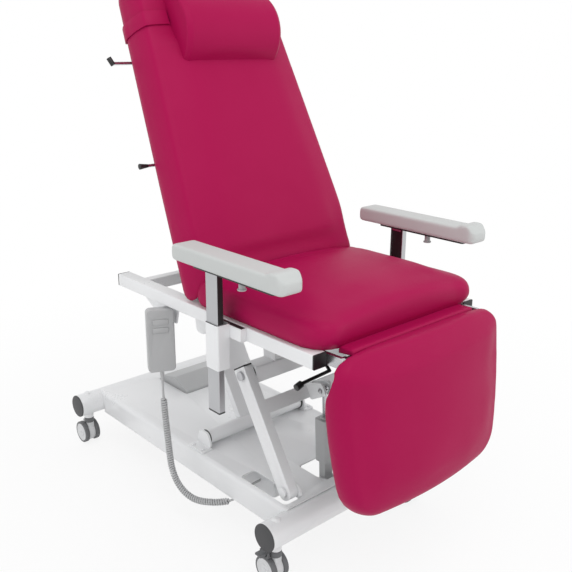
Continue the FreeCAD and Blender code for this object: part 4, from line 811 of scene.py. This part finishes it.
@dataclass(frozen=True)
class Cushion:
    """A padded vinyl cushion: its solid's form, blown up by cloth pressure against its board.

    The board's outer plane goes through base, out points away from it and along runs up the cushion from base.
    Points nearer to that plane than clamp stay where the solid has them. held gives the middle and half length
    of the stretches, measured along, where a neighbour presses and nothing swells.
    """

    node: str
    body: str
    base: Point
    out: Point
    along: Point
    fill: float
    voxel: float = 0.006
    rounds: int = 14
    last: int = 4
    lean: float = 0.95
    sink: float = 0.002
    cap: float = 0.022
    evened: int = 40
    clamp: float = 0.014
    held: tuple[tuple[float, float], ...] = ()
    fade: float = 0.05
    form: Form | None = None
    frames: int = 20
    pressure: float = 4.0

    def build(self, frame: Frame) -> None:
        """Make the cushion in place of its solid."""
        obj = Bench.twin(frame["nodes"][self.node], self.node + "_padded")
        Bench.remesh(obj, self.voxel)
        if self.form is not None:
            Bench.put(obj, self.form(Bench.points(obj)))
        solid = Bench.points(obj)
        soft = ramp(self.depth(solid), 0.8 * self.clamp, 1.8 * self.clamp)
        Bench.weigh(obj, "soft", soft)
        Bench.modify(obj, "SMOOTH", factor=0.5, iterations=self.rounds, vertex_group="soft")
        self._fill(obj, soft)
        free = self.freedom(solid)[:, None]
        Bench.put(obj, solid * (1.0 - free) + Bench.points(obj) * free)
        Bench.modify(obj, "SMOOTH", factor=0.5, iterations=self.last, vertex_group="soft")
        Bench.modify(obj, "SUBSURF", levels=1, render_levels=1)
        self._seat_edge(obj, frame["nodes"][self.node])
        Bench.alone(obj)
        bpy.ops.object.shade_smooth()
        mount(obj, self.body, VINYL, [self.node])

    def _seat_edge(self, obj: Obj, solid: Obj) -> None:
        """Lay the points next to the board back on the solid, so that its edge stays crisp.

        Args:
            obj: The cushion.
            solid: The solid that it stands for.
        """
        corners = np.array([solid.matrix_world @ v.co for v in solid.data.vertices])
        if self.form is not None:
            corners = self.form(corners)
        tree = BVHTree.FromPolygons([Vector(corner) for corner in corners],
                                    [face.vertices[:] for face in solid.data.polygons])
        points = Bench.points(obj)
        share = 1.0 - ramp(self.depth(points), 0.4 * self.clamp, 1.2 * self.clamp)
        for i in np.flatnonzero(share > 0.0):
            near = tree.find_nearest(Vector(points[i]))[0]
            points[i] += (np.array(near) - points[i]) * share[i]
        Bench.put(obj, points)

    def depth(self, points: np.ndarray) -> np.ndarray:
        """How far points stand out from the board's outer plane."""
        return (points - np.array(self.base)) @ np.array(self.out)

    def freedom(self, points: np.ndarray) -> np.ndarray:
        """How freely points swell, from 0 where a neighbour presses on the solid to 1."""
        free = np.ones(len(points))
        run = (points - np.array(self.base)) @ np.array(self.along)
        for middle, half in self.held:
            free *= ramp(np.abs(run - middle), half, half + self.fade)
        return free

    def _fill(self, obj: Obj, soft: np.ndarray) -> None:
        """Flatten the form a little, let air pressure fill it and keep its outward swell, evened.

        Args:
            obj: The cushion's even mesh.
            soft: How far each point is free of the board.
        """
        full, outward = Bench.points(obj), Bench.points(obj, "normal")
        rise = np.maximum(self.depth(full) - self.clamp, 0.0)
        slack = full - np.outer(rise * (1.0 - self.lean), self.out)
        Bench.put(obj, slack - outward * (self.sink * soft)[:, None])
        Bench.weigh(obj, "held", 1.0 - soft)
        cloth = obj.modifiers.new("cloth", "CLOTH")
        rules = {"quality": 5, "mass": 0.3, "tension_stiffness": 15.0, "compression_stiffness": 15.0,
                 "shear_stiffness": 8.0, "bending_stiffness": 2.0, "use_pressure": True,
                 "uniform_pressure_force": self.pressure, "vertex_group_mass": "held"}
        for key, value in rules.items():
            setattr(cloth.settings, key, value)
        cloth.settings.effector_weights.gravity = 0.0
        cloth.point_cache.frame_start = 1
        cloth.point_cache.frame_end = self.frames
        scene = bpy.context.scene
        for step in range(1, self.frames + 1):
            scene.frame_set(step)
        Bench.alone(obj)
        bpy.ops.object.modifier_apply(modifier=cloth.name)
        scene.frame_set(1)
        lift = np.maximum(np.einsum("ij,ij->i", Bench.points(obj) - full, outward), 0.0)
        lift = Bench.calm(obj, self.cap * np.tanh(lift / self.cap), self.evened) * soft
        Bench.put(obj, full + outward * lift[:, None])
        LOG.info("%s swelled by %.1f mm at most", obj.name, 1000.0 * float(lift.max()))


@dataclass(frozen=True)
class Upholstery:
    """The padded pieces in vinyl: back, seat and leg cushions, head pillow with its strap, and the front roll.

    back and leg place frames in which the two rests stand upright, with Y through them and Z along them.
    """

    back: Matrix = Matrix.Translation((0.0, -0.150, 0.705)) @ Matrix.Rotation(math.radians(-25.5), 4, "X")
    leg: Matrix = Matrix.Translation((0.0, -0.690, 0.676)) @ Matrix.Rotation(math.radians(-6.5), 4, "X")
    back_rear: float = 0.0116
    back_face: float = -0.0847
    back_length: float = 0.872
    back_half: float = 0.2865
    back_taper: float = 0.0645
    back_brow: float = 0.0246
    back_crown: float = 0.034
    back_corner: float = 0.046
    back_shoulder: float = 0.018
    back_flare: float = 0.014
    back_spare: float = 0.006
    leg_rear: float = 0.0238
    leg_slope: float = 0.0368
    leg_middle: float = -0.17
    leg_bow: float = 0.017
    leg_corner: float = 0.004
    leg_droop: float = 0.007
    seat_middle: float = -0.416
    seat_base: float = 0.6933
    seat_bulge: float = 0.012
    seat_corner: float = 0.016
    strip_base: Point = (0.0, 0.012, 0.0103)
    strip_share: float = 0.92
    strip_top: float = 0.0028
    strip_rear: float = 0.0030

    def build(self, frame: Frame) -> None:
        """Make every padded piece."""
        self._on(self.back, "back_cushion", "backrest", self.back_rear, fill=0.85, voxel=0.007, rounds=7,
                 cap=0.012, held=((0.738, 0.03), (0.0, 0.05)), form=self._back_form).build(frame)
        self._on(self.leg, "leg_cushion", "legrest", self.leg_rear, fill=0.85, cap=0.012,
                 held=((0.022, 0.018),), form=self._leg_form).build(frame)
        Cushion("seat_cushion", "seat_frame", (0.0, self.seat_middle, self.seat_base), UP, (0.0, 1.0, 0.0), 0.8,
                held=((0.234, 0.07),), form=self._seat_form).build(frame)
        self._on(self.back, "head_pillow", "backrest", self.back_face, fill=0.7, voxel=0.004, rounds=1, last=1,
                 cap=0.008, clamp=0.005).build(frame)
        Cushion("front_roll", "legrest", tuple(self.leg @ Vector(self.strip_base)),
                tuple(self.leg.to_3x3() @ Vector(UP)), (1.0, 0.0, 0.0), 0.9, voxel=0.004, rounds=1, last=1,
                sink=0.0, cap=0.002, clamp=0.003, form=self._strip_form).build(frame)
        strap = RigidNodes().soften(frame, "pillow_strap", VINYL, 0.0005)
        Bench.put(strap, self._back_form(Bench.points(strap)))

    def _back_form(self, points: np.ndarray) -> np.ndarray:
        """Flatten the backrest's front, widen it behind and square its lower corners.

        Args:
            points: The solid's points.

        Returns:
            The points in their new places.
        """
        local = self._drawn(self.back, points)
        share = np.clip(local[:, 2] / self.back_length, 0.0, 1.0)
        half = self.back_half - self.back_taper * share
        brow = half - self.back_brow
        edge = self.back_rear - self.back_face
        across = np.clip(np.abs(local[:, 0]) / brow, 0.0, 1.0)
        crown = self.back_crown * (1.0 - 0.8 * (share - 0.5) ** 2)
        flat = (edge + 0.8 * crown * (1.0 - 0.55 * across ** 5)) / (edge + crown * (1.0 - across ** 2))
        thick = self.back_rear - local[:, 1]
        local[:, 1] = self.back_rear - thick * flat
        shoulder = ramp(np.abs(local[:, 0]), brow - 0.06, brow) * np.clip((thick / edge - 0.45) / 0.55, 0.0, 1.0)
        shoulder *= ramp(local[:, 2], 0.04, 0.17)
        outside = ramp(np.abs(local[:, 0]), half - 0.07, half - 0.01)
        wider = (self.back_shoulder * shoulder + self.back_flare * outside * ramp(local[:, 1], -0.09, -0.01)
                 + self.back_spare * outside)
        local[:, 0] += np.sign(local[:, 0]) * wider
        straight = self.back_half - self.back_corner
        corner = np.clip((np.abs(local[:, 0]) - straight) / self.back_corner, 0.0, 0.98)
        rise = self.back_corner * (1.0 - np.sqrt(1.0 - corner * corner))
        local[:, 2] -= 0.7 * rise * (1.0 - ramp(local[:, 2], 0.03, 0.12))
        return self._placed(self.back, local)

    def _leg_form(self, points: np.ndarray) -> np.ndarray:
        """Bow the legrest's sides and slope its upper corners off behind, where the rails' ends come close.

        Args:
            points: The solid's points.

        Returns:
            The points in their new places.
        """
        local = self._drawn(self.leg, points)
        limit = self.leg_rear - self.leg_slope * ramp(local[:, 2], -0.11, -0.02)
        outside = ramp(np.abs(local[:, 0]), 0.255, 0.268)
        local[:, 1] -= outside * np.maximum(local[:, 1] - limit, 0.0)
        bow = np.clip(1.0 - ((local[:, 2] - self.leg_middle) / 0.20) ** 2, 0.0, 1.0)
        side = ramp(np.abs(local[:, 0]), 0.16, 0.28)
        low, top = ramp(-local[:, 2], 0.30, 0.385), ramp(local[:, 2], -0.06, 0.01)
        local[:, 0] += np.sign(local[:, 0]) * (self.leg_bow * bow + self.leg_corner * low) * side
        local[:, 2] += self.leg_corner * low * (1.0 - side) - self.leg_droop * top * side
        return self._placed(self.leg, local)

    def _seat_form(self, points: np.ndarray) -> np.ndarray:
        """Let the seat's front bulge over the strip below it, its corners most.

        Args:
            points: The solid's points.

        Returns:
            The points in their new places.
        """
        moved = points.copy()
        rise = points[:, 2] - self.seat_base
        height = 0.45 + 0.55 * ramp(rise, 0.0, 0.025) - 0.4 * ramp(rise, 0.05, 0.09)
        ahead = ramp(-points[:, 1], 0.52, 0.63)
        corner = ramp(np.abs(points[:, 0]), 0.20, 0.27)
        moved[:, 1] -= (self.seat_bulge + self.seat_corner * corner) * height * ahead
        return moved

    def _strip_form(self, points: np.ndarray) -> np.ndarray:
        """Shorten the strip a little and fill it out behind, until it meets the seat's front.

        Args:
            points: The solid's points.

        Returns:
            The points in their new places.
        """
        local = self._drawn(self.leg, points)
        local[:, 0] *= self.strip_share
        local[:, 2] += self.strip_top * ramp(local[:, 2], 0.012, 0.020) * (1.0 - ramp(local[:, 1], 0.030, 0.036))
        local[:, 2] += self.strip_rear * ramp(local[:, 2], 0.012, 0.018) * ramp(local[:, 1], 0.018, 0.028)
        return self._placed(self.leg, local)

    @staticmethod
    def _drawn(place: Matrix, points: np.ndarray) -> np.ndarray:
        """Take points into a frame of their own."""
        return (points - np.array(place.translation)) @ np.array(place.to_3x3())

    @staticmethod
    def _placed(place: Matrix, local: np.ndarray) -> np.ndarray:
        """Bring points back from a frame of their own."""
        return local @ np.array(place.to_3x3()).T + np.array(place.translation)

    @staticmethod
    def _on(place: Matrix, name: str, body: str, plane: float, **sizes: Any) -> Cushion:
        """Plan a cushion that is drawn upright in front of a plane of its own.

        Args:
            place: Where that upright drawing stands.
            name: The solid's name.
            body: The body that carries it.
            plane: Where the board's outer plane is along the drawing's Y.
            sizes: The cushion's other sizes.

        Returns:
            The cushion's plan.
        """
        turn = place.to_3x3()
        base = place @ Vector((0.0, plane, 0.0))
        return Cushion(name, body, tuple(base), tuple(turn @ Vector((0.0, -1.0, 0.0))), tuple(turn @ Vector(UP)),
                       **sizes)


@dataclass(frozen=True)
class Armrests:
    """Foam pads with a moulded skin on sliding aluminium posts."""

    voxel: float = 0.0035
    rounds: int = 9
    plate_low: float = 0.8316
    plate_gap: float = 0.008
    foot_top: float = 0.4625
    sleeve_top: float = 0.698
    groove: float = 0.3364
    front: float = -0.628
    middle: float = 0.343
    turn: float = 0.020
    narrow: float = 0.35

    def build(self, frame: Frame) -> None:
        """Make both armrests' posts and pads."""
        for side, middle in (("left", -self.middle), ("right", self.middle)):
            post = RigidNodes().soften(frame, "armrest_%s_post" % side, ALUMINIUM, 0.0004)
            Bench.edit(post)
            for height in (self.sleeve_top, self.foot_top):
                bpy.ops.mesh.select_all(action="SELECT")
                bpy.ops.mesh.bisect(plane_co=(0.0, 0.0, height), plane_no=UP)
            Bench.close()
            # black for the real dark parts, and on the left post's front a painted reflection of the shaded seat
            # side
            paint(post, BLACK_PLASTIC, self._dark)
            pad = Bench.twin(frame["nodes"]["armrest_%s_pad" % side], "armrest_%s_pad_foam" % side)
            Bench.remesh(pad, self.voxel)
            self._round_front(pad, middle)
            Bench.modify(pad, "SMOOTH", factor=0.5, iterations=self.rounds)
            Bench.modify(pad, "SUBSURF", levels=1, render_levels=1)
            Bench.alone(pad)
            bpy.ops.object.shade_smooth()
            mount(pad, "armrest_" + side, PAD_FOAM, ["armrest_%s_pad" % side])

    def _round_front(self, pad: Obj, middle: float) -> None:
        """Draw a pad's sides in towards its front, so that its knob is round from above too.

        Args:
            pad: The pad's even mesh.
            middle: Its middle along X.
        """
        points = Bench.points(pad)
        ahead = 1.0 - np.clip((points[:, 1] - self.front) / self.turn, 0.0, 1.0)
        share = 1.0 - self.narrow * (1.0 - np.sqrt(1.0 - ahead * ahead))
        points[:, 0] = middle + (points[:, 0] - middle) * share
        Bench.put(pad, points)

    def _dark(self, middle: Vector, normal: Vector) -> bool:
        """Tell a post's dark faces: plate under the pad, foot plug and groove, and the left one's front, where the
        black is a painted reflection of the shaded seat side.
        """
        if middle.z > self.plate_low or middle.z < self.foot_top:
            return True
        inner = abs(middle.x) < self.groove and abs(normal.x) > 0.9
        # the left post's front above the sleeve is painted black: a painted reflection of the shaded seat side,
        # not a part
        ahead = middle.x < 0.0 and normal.y < -0.9 and middle.z > self.sleeve_top
        return (inner or ahead) and middle.z < self.plate_low - self.plate_gap


@dataclass(frozen=True)
class Casters:
    """Twin-wheel casters: pale discs with a rubber tread on a pale body under a dark collar.

    rings gives the width and the depth of each step from the tread in to the hub.
    """

    wheel_radius: float = 0.0375
    wheel_width: float = 0.015
    spread: float = 0.0195
    axle_height: float = 0.0375
    tread: float = 0.0068
    rings: tuple[tuple[float, float], ...] = (
        (0.0026, 0.0), (0.0042, 0.0), (0.0004, -0.0009), (0.0040, 0.0),
        (0.0030, -0.0018), (0.0090, 0.0), (0.0016, 0.0022), (0.0030, 0.0006))
    rim_round: float = 0.0024
    sides: int = 72
    sharp: float = 38.0
    collar: float = 0.0755
    near: float = 1e-5
    stems: tuple[tuple[str, float, float], ...] = (
        ("front_left", -0.277, -0.483), ("front_right", 0.277, -0.483),
        ("rear_left", -0.277, 0.511), ("rear_right", 0.277, 0.511))

    def build(self, frame: Frame) -> None:
        """Make every caster's wheels, fork and pedal."""
        model = self._wheel()
        for name, x, y in self.stems:
            self._pair(model, name, x, y)
            fork = RigidNodes().soften(frame, "caster_%s_fork" % name, PALE_DISC, 0.0006)
            paint(fork, DARK_GREY, lambda middle, normal: middle.z > self.collar)
            if name.startswith("front"):
                RigidNodes().soften(frame, "caster_%s_pedal" % name, DARK_GREY, 0.0005)
        bpy.data.objects.remove(model)

    def _wheel(self) -> Obj:
        """Model one wheel about X, its outer side at +X, with a rim, a dished disc and a hub.

        Returns:
            The wheel, at the origin.
        """
        half = self.wheel_width / 2.0
        wheel = Bench.rod("caster_wheel", (-half, 0.0, 0.0), (half, 0.0, 0.0), self.wheel_radius, self.sides)
        Bench.edit(wheel)
        for side in (1.0, -1.0):
            Bench.choose(wheel, Pick.FACE, lambda f, side=side: f.normal.x * side > 0.9)
            for thick, deep in self.rings:
                bpy.ops.mesh.inset(thickness=thick, depth=deep)
        Bench.choose(wheel, Pick.EDGE, lambda e: all(math.hypot(v.co.y, v.co.z) > self.wheel_radius - self.near
                                                     and abs(abs(v.co.x) - half) < self.near for v in e.verts))
        bpy.ops.mesh.bevel(offset=self.rim_round, segments=4, affect="EDGES")
        Bench.close()
        Bench.smooth(wheel, self.sharp)
        return wheel

    def _pair(self, model: Obj, name: str, x: float, y: float) -> None:
        """Copy the wheel to both sides of a caster and make the pair one piece.

        Args:
            model: The wheel.
            name: The caster's name.
            x: The caster's middle.
            y: The axle's place.
        """
        pair = [Bench.moved(model, "caster_%s_twin" % name,
                            Matrix.Translation((x + side * self.spread, y, self.axle_height)))
                for side in (-1.0, 1.0)]
        Bench.alone(pair[0])
        pair[1].select_set(True)
        bpy.ops.object.join()
        Bench.smooth(pair[0], self.sharp)
        mount(pair[0], "caster_%s_wheels" % name, PALE_DISC, ["caster_%s_wheels" % name])
        rim = self.wheel_radius - self.tread
        paint(pair[0], TREAD, lambda middle, normal: math.hypot(middle.y - y, middle.z - self.axle_height) > rim)


def main() -> None:
    """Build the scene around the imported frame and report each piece."""
    logging.basicConfig(level=logging.INFO, format="%(name)s: %(message)s")
    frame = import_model()
    Camera().build()
    Studio().build()
    HandCord().build()
    RigidNodes().build(frame)
    Armrests().build(frame)
    Casters().build(frame)
    Upholstery().build(frame)


if __name__ == "__main__":
    main()
